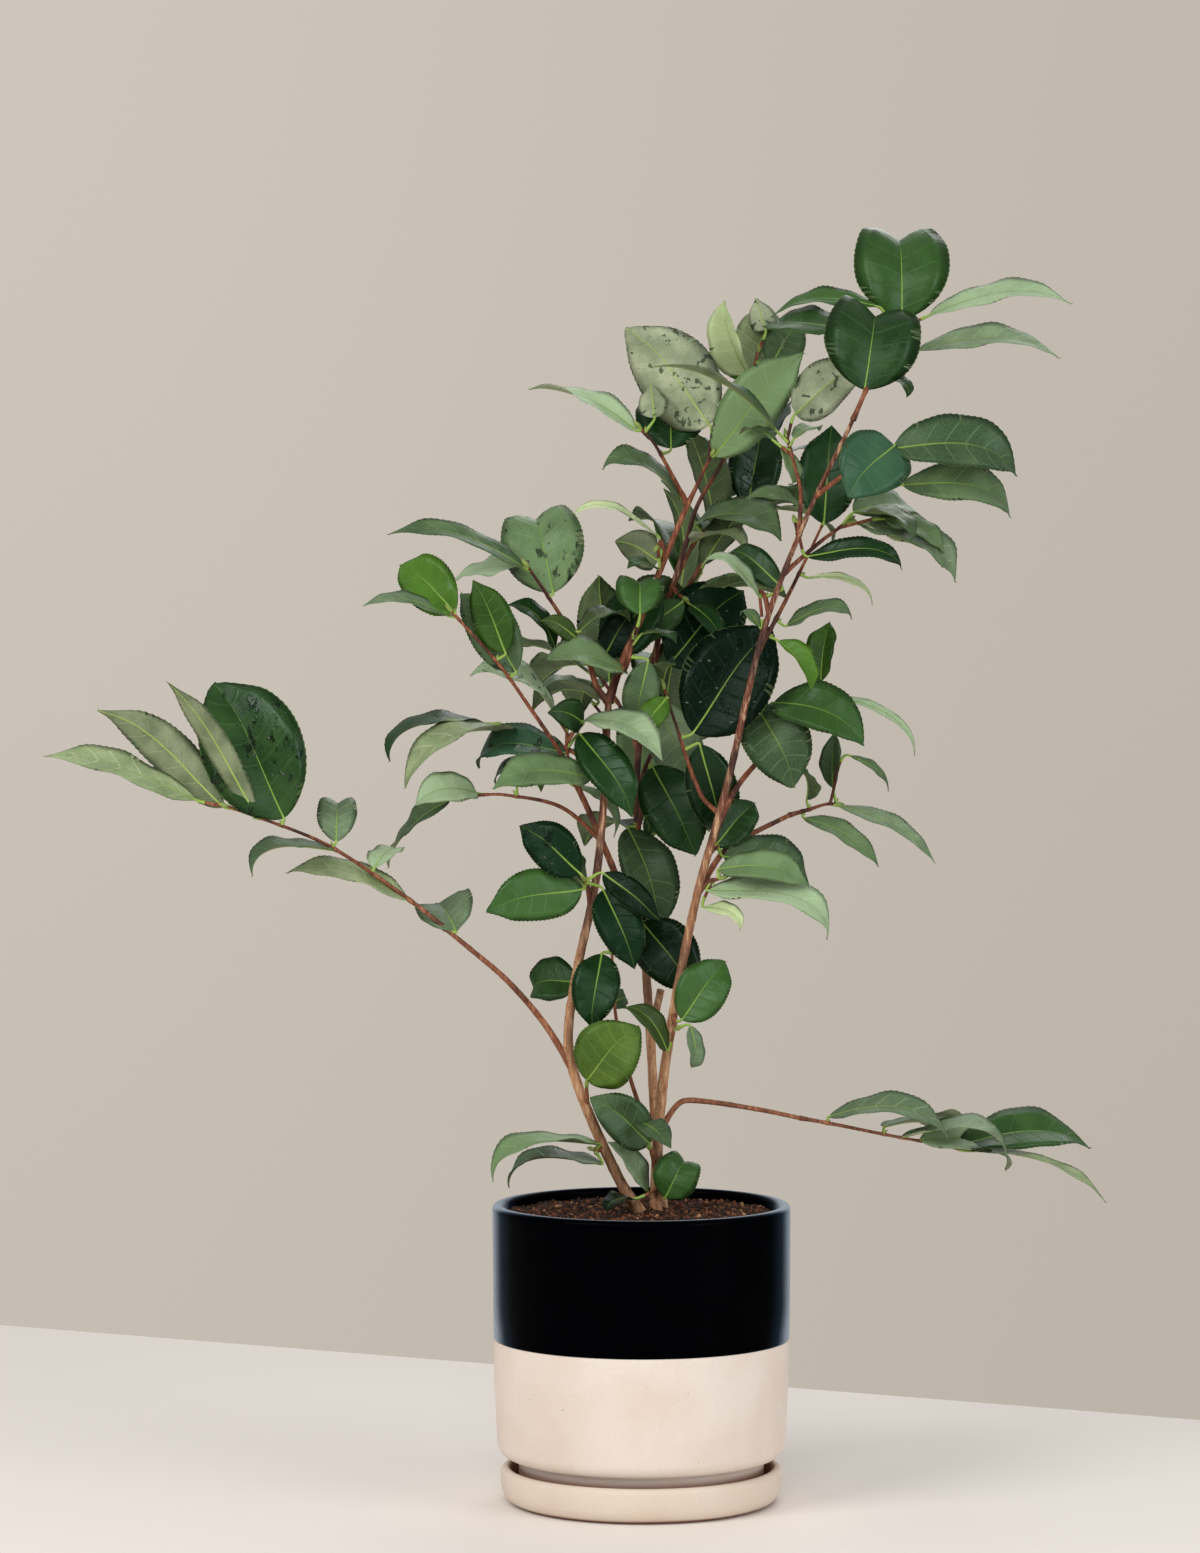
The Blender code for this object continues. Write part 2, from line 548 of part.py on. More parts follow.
def leaf_faces(rings):
    """Faces of a leaf whose rings go left edge, underside, right edge, top side.

    Both sides of the blade are split along the same diagonals, so they never cross.
    """
    faces = [(3, 2, 1, 0)]
    for ring in range(rings - 1):
        left, below, right, above = range(4 * ring, 4 * ring + 4)
        next_left, next_below, next_right, next_above = range(4 * ring + 4, 4 * ring + 8)
        faces += [(left, below, next_below), (left, next_below, next_left),
                  (below, right, next_below), (right, next_right, next_below),
                  (right, above, next_above), (right, next_above, next_right),
                  (above, left, next_above), (left, next_left, next_above)]
    tip = 4 * rings
    return faces + [(tip - 4 + side, tip - 4 + (side + 1) % 4, tip) for side in range(4)]


class Leaf:
    """One leaf: a stalk from its shoot and a curved blade."""

    def __init__(self, root, foot, reach, facing, form, breadth):
        self.root = root
        self.foot = foot
        self.reach = reach
        self.facing = facing
        self.form = form
        self.breadth = breadth
        self.length = reach.length / SPINES[form][2]

    def section(self, u):
        """Midrib point, sideways and upward directions and half-width at u."""
        level, slopes = SPINES[self.form][:2]
        place = u * (len(level) - 1)
        index = min(int(place), len(level) - 2)
        part = place - index
        x = level[index][0] * (1 - part) + level[index + 1][0] * part
        z = level[index][1] * (1 - part) + level[index + 1][1] * part
        slope = slopes[index] * (1 - part) + slopes[index + 1] * part
        ahead = self.reach.normalized()
        up = (self.facing - ahead * self.facing.dot(ahead)).normalized()
        side = up.cross(ahead)
        middle = self.foot + (ahead * x + up * z) * self.length
        tangent = ahead * math.cos(slope) + up * math.sin(slope)
        normal = up * math.cos(slope) - ahead * math.sin(slope)
        twist = FORMS[self.form][4] * (u - 0.3)
        if twist:
            spin = Matrix.Rotation(math.radians(twist), 3, tangent)
            side, normal = spin @ side, spin @ normal
        return middle, side, normal, half_width(u) * self.breadth * self.length / 2

    def blade_point(self, u, v, lift=0.0, swell=0.0):
        """A point on the blade: u from stalk to tip, v from edge to edge."""
        middle, side, normal, half = self.section(u)
        fold, cup = math.radians(FORMS[self.form][2]), FORMS[self.form][3]
        half += swell
        return (middle + side * v * half * math.cos(fold)
                + normal * (half * (abs(v) * math.sin(fold) - cup * v * v) + lift))

    def stalk(self, swell=0.0):
        """Four-cornered rings at both ends of the stalk, turned without a twist."""
        span = self.foot - self.root
        ahead = self.reach.normalized()
        heading = span.normalized() if span.length > SHORT_STALK else ahead
        start = self.foot - heading * max(span.length, SHORT_STALK)
        middle = (heading + ahead).normalized()
        foot_radius = SIDE_TWIG_RADIUS if span.length > SIDE_TWIG else STALK_RADIUS
        verts = []
        for centre, along, radius in ((start, heading, foot_radius),
                                      (self.foot, middle, STALK_RADIUS)):
            side = ahead.rotation_difference(along) @ self.section(0.0)[1] * (radius + swell)
            normal = along.cross(side)
            verts += [centre - side, centre - normal, centre + side, centre + normal]
        return verts

    def blade(self, swell=0.0):
        """Four-cornered rings across the blade, then its tip."""
        thickness = BLADE_THICKNESS * self.length / 2 + swell
        verts = []
        for u in CURLED_STATIONS if FORMS[self.form][0] > CURLED else BLADE_STATIONS:
            verts += [self.blade_point(u, -1, swell=swell), self.blade_point(u, 0, -thickness),
                      self.blade_point(u, 1, swell=swell), self.blade_point(u, 0, thickness)]
        return verts + [self.section(1.0)[0] + self.reach.normalized() * swell]

    def solid(self, swell=0.0, blade_only=False):
        """Vertices and faces of the leaf, or of its blade alone, swollen all round."""
        verts = self.blade(swell)
        if not blade_only:
            verts = self.stalk(swell) + verts
        return verts, leaf_faces(len(verts) // 4)


def nearest_on_shoot(shoot, x, z, taken):
    """Free point of a shoot's middle nearest to a place seen from the front."""
    usable = [point for point, distance in zip(shoot.fine, shoot.fine_total)
              if distance >= min(STALK_CLEAR, shoot.fine_total[-1] * 0.5)]
    free = [point for point in usable
            if all((point - other).length >= ROOT_SPACING for other in taken)]
    return min(free or usable, key=lambda point: (point.x - x) ** 2 + (point.z - z) ** 2)


def given_leaf(shoot, row, taken):
    """A leaf from its row in the planting plan, with its stalk clear of those taken."""
    x, z, reach_x, reach_y, reach_z, facing, form, breadth = row
    root = nearest_on_shoot(shoot, x, z, taken)
    taken.append(root)
    foot = Vector((x, root.y, z))
    return Leaf(root, foot, Vector((reach_x, reach_y, reach_z)), Vector(FACINGS[facing]), form,
                breadth)


def rule_leaf(shoot, index, count, dice):
    """A leaf that the spiral rule puts on a shoot."""
    part = RULE_START + (1 - RULE_START) * (index + 0.5) / count
    place = min(int(part * len(shoot.fine)), len(shoot.fine) - 2)
    root = shoot.fine[place]
    along = direction_at(shoot.fine, place)
    sideways = along.cross(Vector((0, 0, 1))).normalized()
    sideways = Matrix.Rotation(math.radians(SPIRAL * index + dice.uniform(-20, 20)), 3, along) @ sideways
    opening = math.radians(OPENING * (1 - 0.5 * index / count) + dice.uniform(-8, 8))
    heading = along * math.cos(opening) + sideways * math.sin(opening)
    reach = heading * dice.uniform(*RULE_LENGTH)
    facing = Vector((0, 0, 1)) + along * 0.4
    return Leaf(root, root + heading * RULE_STALK, reach, facing, dice.choice(RULE_FORMS), BLADE_WIDTH)


def varied(leaf, swing, shift, roll, turn):
    """The leaf swung and moved in depth, rolled about its midrib and turned."""
    flat = Vector((leaf.reach.x, 0, leaf.reach.z))
    reach = leaf.reach + Vector((0, swing * SWING_STEP * flat.length, 0))
    reach = Matrix.Rotation(math.radians(turn * TURN_STEP), 3, "Y") @ reach
    ahead = reach.normalized()
    facing = leaf.facing - ahead * leaf.facing.dot(ahead)
    facing = Matrix.Rotation(math.radians(roll * ROLL_STEP), 3, ahead) @ facing
    foot = leaf.foot + Vector((0, shift * SHIFT_STEP, 0))
    return Leaf(leaf.root, foot, reach, facing, leaf.form, leaf.breadth)


VARIATIONS = sorted(((swing, shift, roll, turn) for turn in TURNS for roll in ROLLS
                     for shift in SHIFTS for swing in SWINGS),
                    key=lambda v: abs(v[0]) + 1.5 * abs(v[1]) + 2 * abs(v[2]) + 3 * abs(v[3]))


class Solid:
    """A test shape: a tree of its faces and the box round it."""

    def __init__(self, owner, verts, faces):
        self.owner = owner
        self.tree = BVHTree.FromPolygons(verts, faces)
        self.low = [min(vert[axis] for vert in verts) for axis in range(3)]
        self.high = [max(vert[axis] for vert in verts) for axis in range(3)]

    def touches(self, other):
        """Whether the faces of two shapes cross."""
        for axis in range(3):
            if self.low[axis] > other.high[axis] or self.high[axis] < other.low[axis]:
                return False
        return bool(self.tree.overlap(other.tree))


def place_leaves(limbs, shoots):
    """Every leaf that finds room, by shoot."""
    limb_solids = [Solid(name, *limb.tube(BOUGH_SIDES, CLEARANCE)) for name, limb in limbs.items()]
    twig_solids = [Solid(name, *shoot.tube(TWIG_SIDES, CLEARANCE)) for name, shoot in shoots.items()]
    whole, blades = [], []
    placed = {name: [] for name in SHOOTS}
    dice = random.Random(SEED)
    for name, row in SHOOTS.items():
        rows, grown = row[3:]
        shoot = shoots[name]
        taken = []
        wanted = [given_leaf(shoot, row, taken) for row in rows]
        wanted += [rule_leaf(shoot, index, grown, dice) for index in range(grown)]
        for leaf in wanted:
            for variation in VARIATIONS:
                tried = varied(leaf, *variation)
                solid = Solid(name, *tried.solid(CLEARANCE))
                blade = Solid(name, *tried.solid(0.0, blade_only=True))
                if any(solid.touches(other) for other in limb_solids + whole if other.owner != name):
                    continue
                if any(blade.touches(other) for other in twig_solids + blades if other.owner == name):
                    continue
                if any(solid.touches(other) for other in twig_solids if other.owner != name):
                    continue
                placed[name].append(tried)
                whole.append(Solid(name, *tried.solid()))
                blades.append(blade)
                break
    return placed


def grow_shoots(limbs):
    """The leafless shoots by name."""
    shoots = {}
    for name, row in SHOOTS.items():
        parent, height, points = row[:3]
        foot_radius = TWIG_FOOT
        if height is TIP:
            foot_radius = min(TWIG_FOOT, limbs[parent].tip_radius)
        shoot = start_limb(limbs[parent], height, points, foot_radius, TWIG_TIP, TWIG_STEP)
        shoot.fine = resample(shoot.path, STALK_STEP)
        shoot.fine_total = lengths_along(shoot.fine)
        shoots[name] = shoot
    return shoots


# ---- Meshes and objects ---------------------------------------------------
SLIVER = 0.004           # shorter edges that a union leaves are closed up
SHARP = 40.0             # turned edges steeper than this stay crisp


def material(name, color, roughness):
    """A plain Principled BSDF."""
    result = bpy.data.materials.new(name)
    result.use_nodes = True
    shader = result.node_tree.nodes["Principled BSDF"]
    shader.inputs["Base Color"].default_value = (*color, 1)
    shader.inputs["Roughness"].default_value = roughness
    result.diffuse_color = (*color, 1)
    return result


def add_object(name, verts, faces, finish):
    """An object at the origin from vertices in millimetres."""
    mesh = bpy.data.meshes.new(name)
    mesh.from_pydata([vert * MM for vert in verts], [], faces)
    mesh.validate()
    mesh.materials.append(finish)
    mesh.shade_smooth()
    result = bpy.data.objects.new(name, mesh)
    bpy.context.scene.collection.objects.link(result)
    return result


def turned(name, profile, finish):
    """A solid turned about Z from a closed outline of (radius, height), outer side upwards."""
    verts, faces, rings = [], [], []
    for radius, height in profile:
        if rings and (radius, height) == profile[0]:
            rings.append(rings[0])
            continue
        if radius == 0:
            rings.append([len(verts)] * ROUND_SIDES)
            verts.append(Vector((0, 0, height)))
            continue
        rings.append(list(range(len(verts), len(verts) + ROUND_SIDES)))
        for side in range(ROUND_SIDES):
            angle = math.tau * side / ROUND_SIDES
            verts.append(Vector((radius * math.cos(angle), radius * math.sin(angle), height)))
    for low, high in zip(rings, rings[1:]):
        for side in range(ROUND_SIDES):
            following = (side + 1) % ROUND_SIDES
            corners = (low[side], low[following], high[following], high[side])
            faces.append(tuple(dict.fromkeys(corners)))
    result = add_object(name, verts, faces, finish)
    result.data.set_sharp_from_angle(angle=math.radians(SHARP))
    return result


def wall_radius(height):
    """Outer radius of the pot's straight wall, glaze left out of account."""
    slope = (GLAZE_LINE_RADIUS - SHOULDER_RADIUS) / (GLAZE_LINE - SHOULDER_HEIGHT)
    if height <= GLAZE_LINE:
        return SHOULDER_RADIUS + slope * (height - SHOULDER_HEIGHT)
    part = (height - GLAZE_LINE) / (POT_HEIGHT - GLAZE_LINE)
    return GLAZE_LINE_RADIUS + (POT_RADIUS - GLAZE_LINE_RADIUS) * part


def bore_radius(height):
    """Inner radius of the pot."""
    return POT_RADIUS - WALL - SOIL_SHRINK * (1 - height / POT_HEIGHT)


def build_pot(clay, glaze, earth):
    """Saucer, pot, its glaze coat and the soil."""
    skin = GLAZE_THICKNESS + GAP
    corner = [(SHOULDER_RADIUS - CORNER + CORNER * math.cos(angle),
               SHOULDER_HEIGHT + CORNER * math.sin(angle))
              for angle in (math.radians(degrees) for degrees in (-90, -60, -30, 0))]
    crest = POT_HEIGHT - skin
    edge = crest - RIM_ROUND
    inside = FOOT_HEIGHT + FLOOR_THICKNESS
    skin_foot = SOIL_TOP + 2 * GAP
    turned("pot", [
        (0, FOOT_HEIGHT), (FOOT_RADIUS - 2, FOOT_HEIGHT), (FOOT_RADIUS, FOOT_HEIGHT + 2),
        (FOOT_RADIUS, corner[0][1])] + corner + [
        (wall_radius(GLAZE_LINE), GLAZE_LINE), (wall_radius(GLAZE_LINE) - skin, GLAZE_LINE),
        (wall_radius(edge) - skin, edge), (wall_radius(edge) - skin - 1.6, crest - 1.2),
        (bore_radius(edge) + skin + 1.6, crest - 1.2), (bore_radius(edge) + skin, edge - 1),
        (bore_radius(skin_foot) + skin, skin_foot - GAP), (bore_radius(skin_foot), skin_foot - GAP),
        (bore_radius(BORE_CORNER), BORE_CORNER), (FOOT_RADIUS - WALL, inside), (0, inside)], clay)
    turned("pot_glaze", [
        (wall_radius(GLAZE_LINE) - GLAZE_THICKNESS, GLAZE_LINE + GAP),
        (wall_radius(GLAZE_LINE), GLAZE_LINE + GAP),
        (wall_radius(edge), edge), (wall_radius(edge) - 1.4, POT_HEIGHT - 0.9),
        (wall_radius(edge) - 3.2, POT_HEIGHT), (bore_radius(edge) + 1.4, POT_HEIGHT - 0.9),
        (bore_radius(edge), edge), (bore_radius(skin_foot), skin_foot),
        (bore_radius(skin_foot) + GLAZE_THICKNESS, skin_foot),
        (bore_radius(edge) + GLAZE_THICKNESS, edge - 1),
        (bore_radius(edge) + GLAZE_THICKNESS + 1.6, crest - 0.9),
        (wall_radius(edge) - GLAZE_THICKNESS - 1.6, crest - 0.9),
        (wall_radius(edge) - GLAZE_THICKNESS, edge),
        (wall_radius(GLAZE_LINE) - GLAZE_THICKNESS, GLAZE_LINE + GAP)], glaze)
    turned("soil", [
        (0, inside + GAP), (FOOT_RADIUS - WALL - 2 * GAP, inside + GAP),
        (bore_radius(BORE_CORNER) - 2 * GAP, BORE_CORNER),
        (bore_radius(SOIL_TOP) - 2 * GAP, SOIL_TOP), (0, SOIL_TOP)], earth)
    turned("saucer", [
        (0, 0), (SAUCER_BASE_RADIUS, 0), (SAUCER_RADIUS - 3.4, 2.4), (SAUCER_RADIUS - 0.9, 6.6),
        (SAUCER_RADIUS, 13), (SAUCER_RADIUS - 0.5, 18), (SAUCER_RADIUS - 2.2, SAUCER_HEIGHT),
        (SAUCER_RADIUS - 4.6, SAUCER_HEIGHT), (SAUCER_RADIUS - 6.6, SAUCER_HEIGHT - 2.4),
        (SAUCER_WELL_RADIUS + 1.4, SAUCER_FLOOR + 5), (SAUCER_WELL_RADIUS, SAUCER_FLOOR),
        (0, SAUCER_FLOOR)], clay)


def largest_shell(mesh):
    """Leave only the outer shell of a fused mesh: sealed hollows and loose scraps go."""
    shape = bmesh.new()
    shape.from_mesh(mesh)
    bmesh.ops.triangulate(shape, faces=shape.faces)
    bmesh.ops.dissolve_degenerate(shape, edges=shape.edges, dist=SLIVER * MM)
    bmesh.ops.triangulate(shape, faces=shape.faces)
    shells = []
    seen = set()
    for seed in shape.faces:
        if seed in seen:
            continue
        seen.add(seed)
        shell = [seed]
        for face in shell:
            for edge in face.edges:
                if len(edge.link_faces) == 2:
                    found = [other for other in edge.link_faces if other not in seen]
                    seen.update(found)
                    shell += found
        shells.append(shell)
    kept = set(max(shells, key=len))
    bmesh.ops.delete(shape, geom=[face for face in shape.faces if face not in kept], context="FACES")
    shape.to_mesh(mesh)
    shape.free()


def fuse(target, parts):
    """Join a collection of closed parts to the target by one Boolean union."""
    group = bpy.data.collections.new(target.name + "_parts")
    bpy.context.scene.collection.children.link(group)
    for part in parts:
        bpy.context.scene.collection.objects.unlink(part)
        group.objects.link(part)
    union = target.modifiers.new("union", "BOOLEAN")
    union.operation = "UNION"
    union.operand_type = "COLLECTION"
    union.collection = group
    union.solver = "MANIFOLD"
    seen = target.evaluated_get(bpy.context.evaluated_depsgraph_get())
    mesh = bpy.data.meshes.new_from_object(seen)
    target.modifiers.remove(union)
    target.data = mesh
    for part in parts:
        bpy.data.objects.remove(part)
    bpy.data.collections.remove(group)
    largest_shell(mesh)


def build():
    """The whole plant in its pot."""
    for leftover in list(bpy.data.objects):
        bpy.data.objects.remove(leftover)
    clay = material("clay", (0.85, 0.74, 0.62), 0.8)
    glaze = material("glaze", (0.006, 0.009, 0.02), 0.12)
    earth = material("earth", (0.07, 0.045, 0.03), 0.95)
    bark = material("bark", (0.27, 0.15, 0.09), 0.75)
    green = material("leaf_green", (0.05, 0.13, 0.045), 0.35)
    build_pot(clay, glaze, earth)
    limbs = grow_limbs()
    for name, limb in limbs.items():
        sides = STEM_SIDES if name.startswith("stem") else BOUGH_SIDES
        add_object(name, *limb.tube(sides), bark)
    shoots = grow_shoots(limbs)
    for name, leaves in place_leaves(limbs, shoots).items():
        twig = add_object("foliage_" + name, *shoots[name].tube(TWIG_SIDES), green)
        parts = [add_object("leaf", *leaf.solid(), green) for leaf in leaves]
        fuse(twig, parts)


build()
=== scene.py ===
# %% [markdown]
# # A potted camellia, dressed for its portrait
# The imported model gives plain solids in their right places: a pot with its glaze coat, a
# saucer, soil, three stems, their boughs, and one solid for each leafy shoot. This lesson
# keeps every place and size and replaces each solid with a detailed mesh. Lengths are worked
# out in millimetres, as on a drawing, and become metres when a mesh is made.

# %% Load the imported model
import math
import random

import bpy
from mathutils import Matrix, Vector, noise
from mathutils.bvhtree import BVHTree


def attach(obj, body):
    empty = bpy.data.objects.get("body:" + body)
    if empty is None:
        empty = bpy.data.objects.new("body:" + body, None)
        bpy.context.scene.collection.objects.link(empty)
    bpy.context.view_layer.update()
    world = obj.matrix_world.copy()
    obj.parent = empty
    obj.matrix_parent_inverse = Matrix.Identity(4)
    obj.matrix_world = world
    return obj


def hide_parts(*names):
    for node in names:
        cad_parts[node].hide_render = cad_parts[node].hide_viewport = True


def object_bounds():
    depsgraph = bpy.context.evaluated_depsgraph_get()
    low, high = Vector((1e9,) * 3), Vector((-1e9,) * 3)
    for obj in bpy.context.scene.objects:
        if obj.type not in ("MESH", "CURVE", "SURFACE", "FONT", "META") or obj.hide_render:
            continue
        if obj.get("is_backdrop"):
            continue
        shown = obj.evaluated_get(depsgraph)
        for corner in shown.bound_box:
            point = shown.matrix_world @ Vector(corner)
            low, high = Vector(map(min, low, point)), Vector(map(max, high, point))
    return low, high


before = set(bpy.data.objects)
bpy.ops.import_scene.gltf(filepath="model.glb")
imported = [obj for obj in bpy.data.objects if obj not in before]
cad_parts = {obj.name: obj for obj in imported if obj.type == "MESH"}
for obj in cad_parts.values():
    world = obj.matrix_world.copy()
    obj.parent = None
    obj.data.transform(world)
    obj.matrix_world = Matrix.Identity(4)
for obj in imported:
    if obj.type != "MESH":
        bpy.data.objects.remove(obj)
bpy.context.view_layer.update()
MM = 0.001

# %% [markdown]
# ## Camera
# A long lens from nearly three metres away flattens the plant, as in a catalogue picture. It
# looks along +Y, slightly down, so the rim of the pot shows as a thin ellipse.

# %% Camera
CAMERA_PLACE = (-0.025, -2.714, 0.504)
CAMERA_PITCH = 1.40      # degrees below the horizon
LENS = 104.5             # mm

lens = bpy.data.cameras.new("camera")
lens.lens = LENS
camera = bpy.data.objects.new("camera", lens)
camera.location = CAMERA_PLACE
camera.rotation_euler = (math.radians(90 - CAMERA_PITCH), 0, 0)
bpy.context.scene.collection.objects.link(camera)
bpy.context.scene.camera = camera
print("camera", camera.location[:], "lens", lens.lens)

# %% [markdown]
# ## Node trees written in code
# Materials and Geometry Nodes are both trees of small steps. One helper adds a step, sets its
# options, and fills its inputs: a socket is linked and anything else becomes the input's own
# value. With it a tree reads from top to bottom like a recipe.

# %% Helpers for node trees
def put(tree, kind, inputs=None, **settings):
    """Add a node, set its options, and link or set the inputs that are named."""
    made = tree.nodes.new(kind)
    for key, value in settings.items():
        setattr(made, key, value)
    for key, value in (inputs or {}).items():
        if isinstance(value, bpy.types.NodeSocket):
            tree.links.new(value, made.inputs[key])
        else:
            made.inputs[key].default_value = value
    return made


def calc(tree, operation, first, second=0.0):
    """One sum on two numbers or sockets."""
    return put(tree, "ShaderNodeMath", {0: first, 1: second}, operation=operation).outputs[0]


def times(tree, first, second):
    """The product of two numbers or sockets."""
    return calc(tree, "MULTIPLY", first, second)


def step_up(tree, value, low, high, start=0.0, end=1.0):
    """A smooth change from start to end while the value runs from low to high."""
    return put(tree, "ShaderNodeMapRange", {0: value, 1: low, 2: high, 3: start, 4: end},
               interpolation_type="SMOOTHSTEP").outputs[0]


def step_down(tree, value, low, high):
    """A smooth change from 1 to 0 while the value runs from low to high."""
    return step_up(tree, value, low, high, 1.0, 0.0)


def blend_number(tree, factor, first, second):
    """A number between two others."""
    return put(tree, "ShaderNodeMix", {0: factor, 2: first, 3: second},
               data_type="FLOAT").outputs[0]


def blend_color(tree, factor, first, second):
    """A colour between two others."""
    return put(tree, "ShaderNodeMix", {0: factor, 6: first, 7: second}, data_type="RGBA").outputs[2]


def wash(tree, color, mask, strength, over):
    """Lay one colour over another where a mask is, this strongly."""
    return blend_color(tree, times(tree, mask, strength), color, over)


def noise_at(tree, place, scale, detail=2.0, roughness=0.5):
    """A soft random value from 0 to 1 that changes from place to place."""
    return put(tree, "ShaderNodeTexNoise", {"Vector": place, "Scale": scale, "Detail": detail,
                                            "Roughness": roughness}).outputs["Fac"]


def cells_at(tree, place, scale):
    """Random cells: how far a place is from the middle of its cell, and the cell's number."""
    cells = put(tree, "ShaderNodeTexVoronoi", {"Vector": place, "Scale": scale}).outputs
    number = put(tree, "ShaderNodeSeparateColor", {0: cells["Color"]}).outputs[0]
    return cells["Distance"], number


def stretched(tree, place, *scale):
    """Coordinates multiplied along the three axes, so that what they carry is drawn out."""
    return put(tree, "ShaderNodeMapping", {"Vector": place, "Scale": scale}).outputs[0]


def split(tree, vector):
    """The three parts of a vector."""
    return put(tree, "ShaderNodeSeparateXYZ", {0: vector}).outputs


def new_finish(name, roughness, gloss=0.5):
    """A Principled material; returns it, its tree and its shader."""
    made = bpy.data.materials.new(name)
    made.use_nodes = True
    tree = made.node_tree
    shader = tree.nodes["Principled BSDF"]
    shader.inputs["Roughness"].default_value = roughness
    shader.inputs["Specular IOR Level"].default_value = gloss
    return made, tree, shader


def object_place(tree):
    """Coordinates in metres, fixed to the object."""
    return put(tree, "ShaderNodeTexCoord").outputs["Object"]


def number_named(tree, name):
    """A number that the mesh carries under a name."""
    return put(tree, "ShaderNodeAttribute", attribute_name=name).outputs["Fac"]


def add_bump(tree, shader, height, depth):
    """Raise the surface by a height from 0 to 1 times a depth in metres."""
    bump = put(tree, "ShaderNodeBump", {"Height": height, "Distance": depth, "Strength": 1.0})
    tree.links.new(bump.outputs[0], shader.inputs["Normal"])


def set_color(tree, shader, color):
    """Link a colour to the shader."""
    tree.links.new(color, shader.inputs["Base Color"])


def linear(red, green, blue):
    """A colour given as on a screen, 0 to 255, in the renderer's own scale."""
    return tuple(((value / 255 + 0.055) / 1.055) ** 2.4 if value > 10 else value / 3294.6
                 for value in (red, green, blue)) + (1.0,)


# %% Helpers for meshes
def new_piece(name, verts, faces, finishes, scale=MM):
    """A mesh object at the origin with smooth faces."""
    mesh = bpy.data.meshes.new(name)
    mesh.from_pydata([vert * scale for vert in verts], [], faces)
    for finish in finishes:
        mesh.materials.append(finish)
    mesh.shade_smooth()
    made = bpy.data.objects.new(name, mesh)
    bpy.context.scene.collection.objects.link(made)
    return made


def band(low, sides):
    """Faces between the ring of points that starts at low and the next ring."""
    return [(low + side, low + (side + 1) % sides, low + sides + (side + 1) % sides,
             low + sides + side) for side in range(sides)]


def settle(piece, nodes):
    """Hang a finished piece on the one body, hide the solids that it replaces and print its
    triangle count.
    """
    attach(piece, "root")
    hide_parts(*nodes)
    faces = sum(len(face.vertices) - 2 for face in piece.data.polygons)
    print(piece.name, faces, "triangles")


# %% [markdown]
# ## Clay and glaze
# The lower half of the pot and the whole saucer are bare fired clay: chalky, with a grain
# finer than sand, faint warm clouds and a few dark pinholes. The upper half was dipped in a
# near-black glaze. Its edges, seen at a grazing angle, are painted a lit blue-grey as a
# painted reflection, and a painted highlight runs along its lower line and on the rim. Where
# the pot stands in its dish, painted shade turns both dark brown in the gap. Noise at three
# sizes gives the clay its look without any picture.

# %% Clay and glaze finishes
# Heights and distances from the axis, in metres, between which a colour comes or goes.
DISH_TOP = (0.0212, 0.0222)       # the saucer is a little browner than the pot above it
PAINTED_SHADE_TOP = (0.0196, 0.0250)       # the painted shade in the gap reaches up to here
PAINTED_SHADE_REACH = (0.0795, 0.0815)     # and out to here
PAINTED_HIGHLIGHT_BELOW = (0.098, 0.124)       # a painted highlight runs along the glaze's lower line
PAINTED_HIGHLIGHT_ABOVE = (0.1770, 0.1795)     # and on the rim

clay, tree, shader = new_finish("bare_clay", 0.82, 0.25)
place = object_place(tree)
clouds = noise_at(tree, place, 22.0, 3.0)
grain = noise_at(tree, place, 1500.0, 2.0)
color = blend_color(tree, step_up(tree, clouds, 0.35, 0.75), linear(229, 218, 209),
                    linear(222, 206, 194))
color = blend_color(tree, step_up(tree, grain, 0.4, 0.8, 0.0, 0.4), color, linear(204, 184, 166))
distance, number = cells_at(tree, place, 150.0)
pit = times(tree, step_down(tree, distance, 0.05, 0.12), step_up(tree, number, 0.90, 0.94))
color = wash(tree, color, pit, 0.6, linear(150, 118, 92))
x, y, height = split(tree, place)
flat = put(tree, "ShaderNodeCombineXYZ", {0: x, 1: y}).outputs[0]
from_axis = put(tree, "ShaderNodeVectorMath", {0: flat}, operation="LENGTH").outputs["Value"]
color = blend_color(tree, step_up(tree, height, *DISH_TOP, 0.5, 0.0), color,
                    linear(214, 196, 176))
# Painted shade: the clay turns dark brown low down in the gap between pot and saucer.
painted_shade_and_wet_specks = times(tree, step_up(tree, height, *PAINTED_SHADE_TOP, 0.80, 0.0),
             step_down(tree, from_axis, *PAINTED_SHADE_REACH))
set_color(tree, shader, blend_color(tree, painted_shade_and_wet_specks, color, linear(120, 58, 24)))
add_bump(tree, shader, calc(tree, "SUBTRACT", calc(tree, "ADD", grain, clouds), pit), 0.00012)

glaze, tree, shader = new_finish("midnight_glaze", 0.26, 0.012)
place = object_place(tree)
depth = blend_color(tree, noise_at(tree, place, 45.0, 2.0), linear(0, 0, 1), linear(0, 1, 3))
height = split(tree, place)[2]
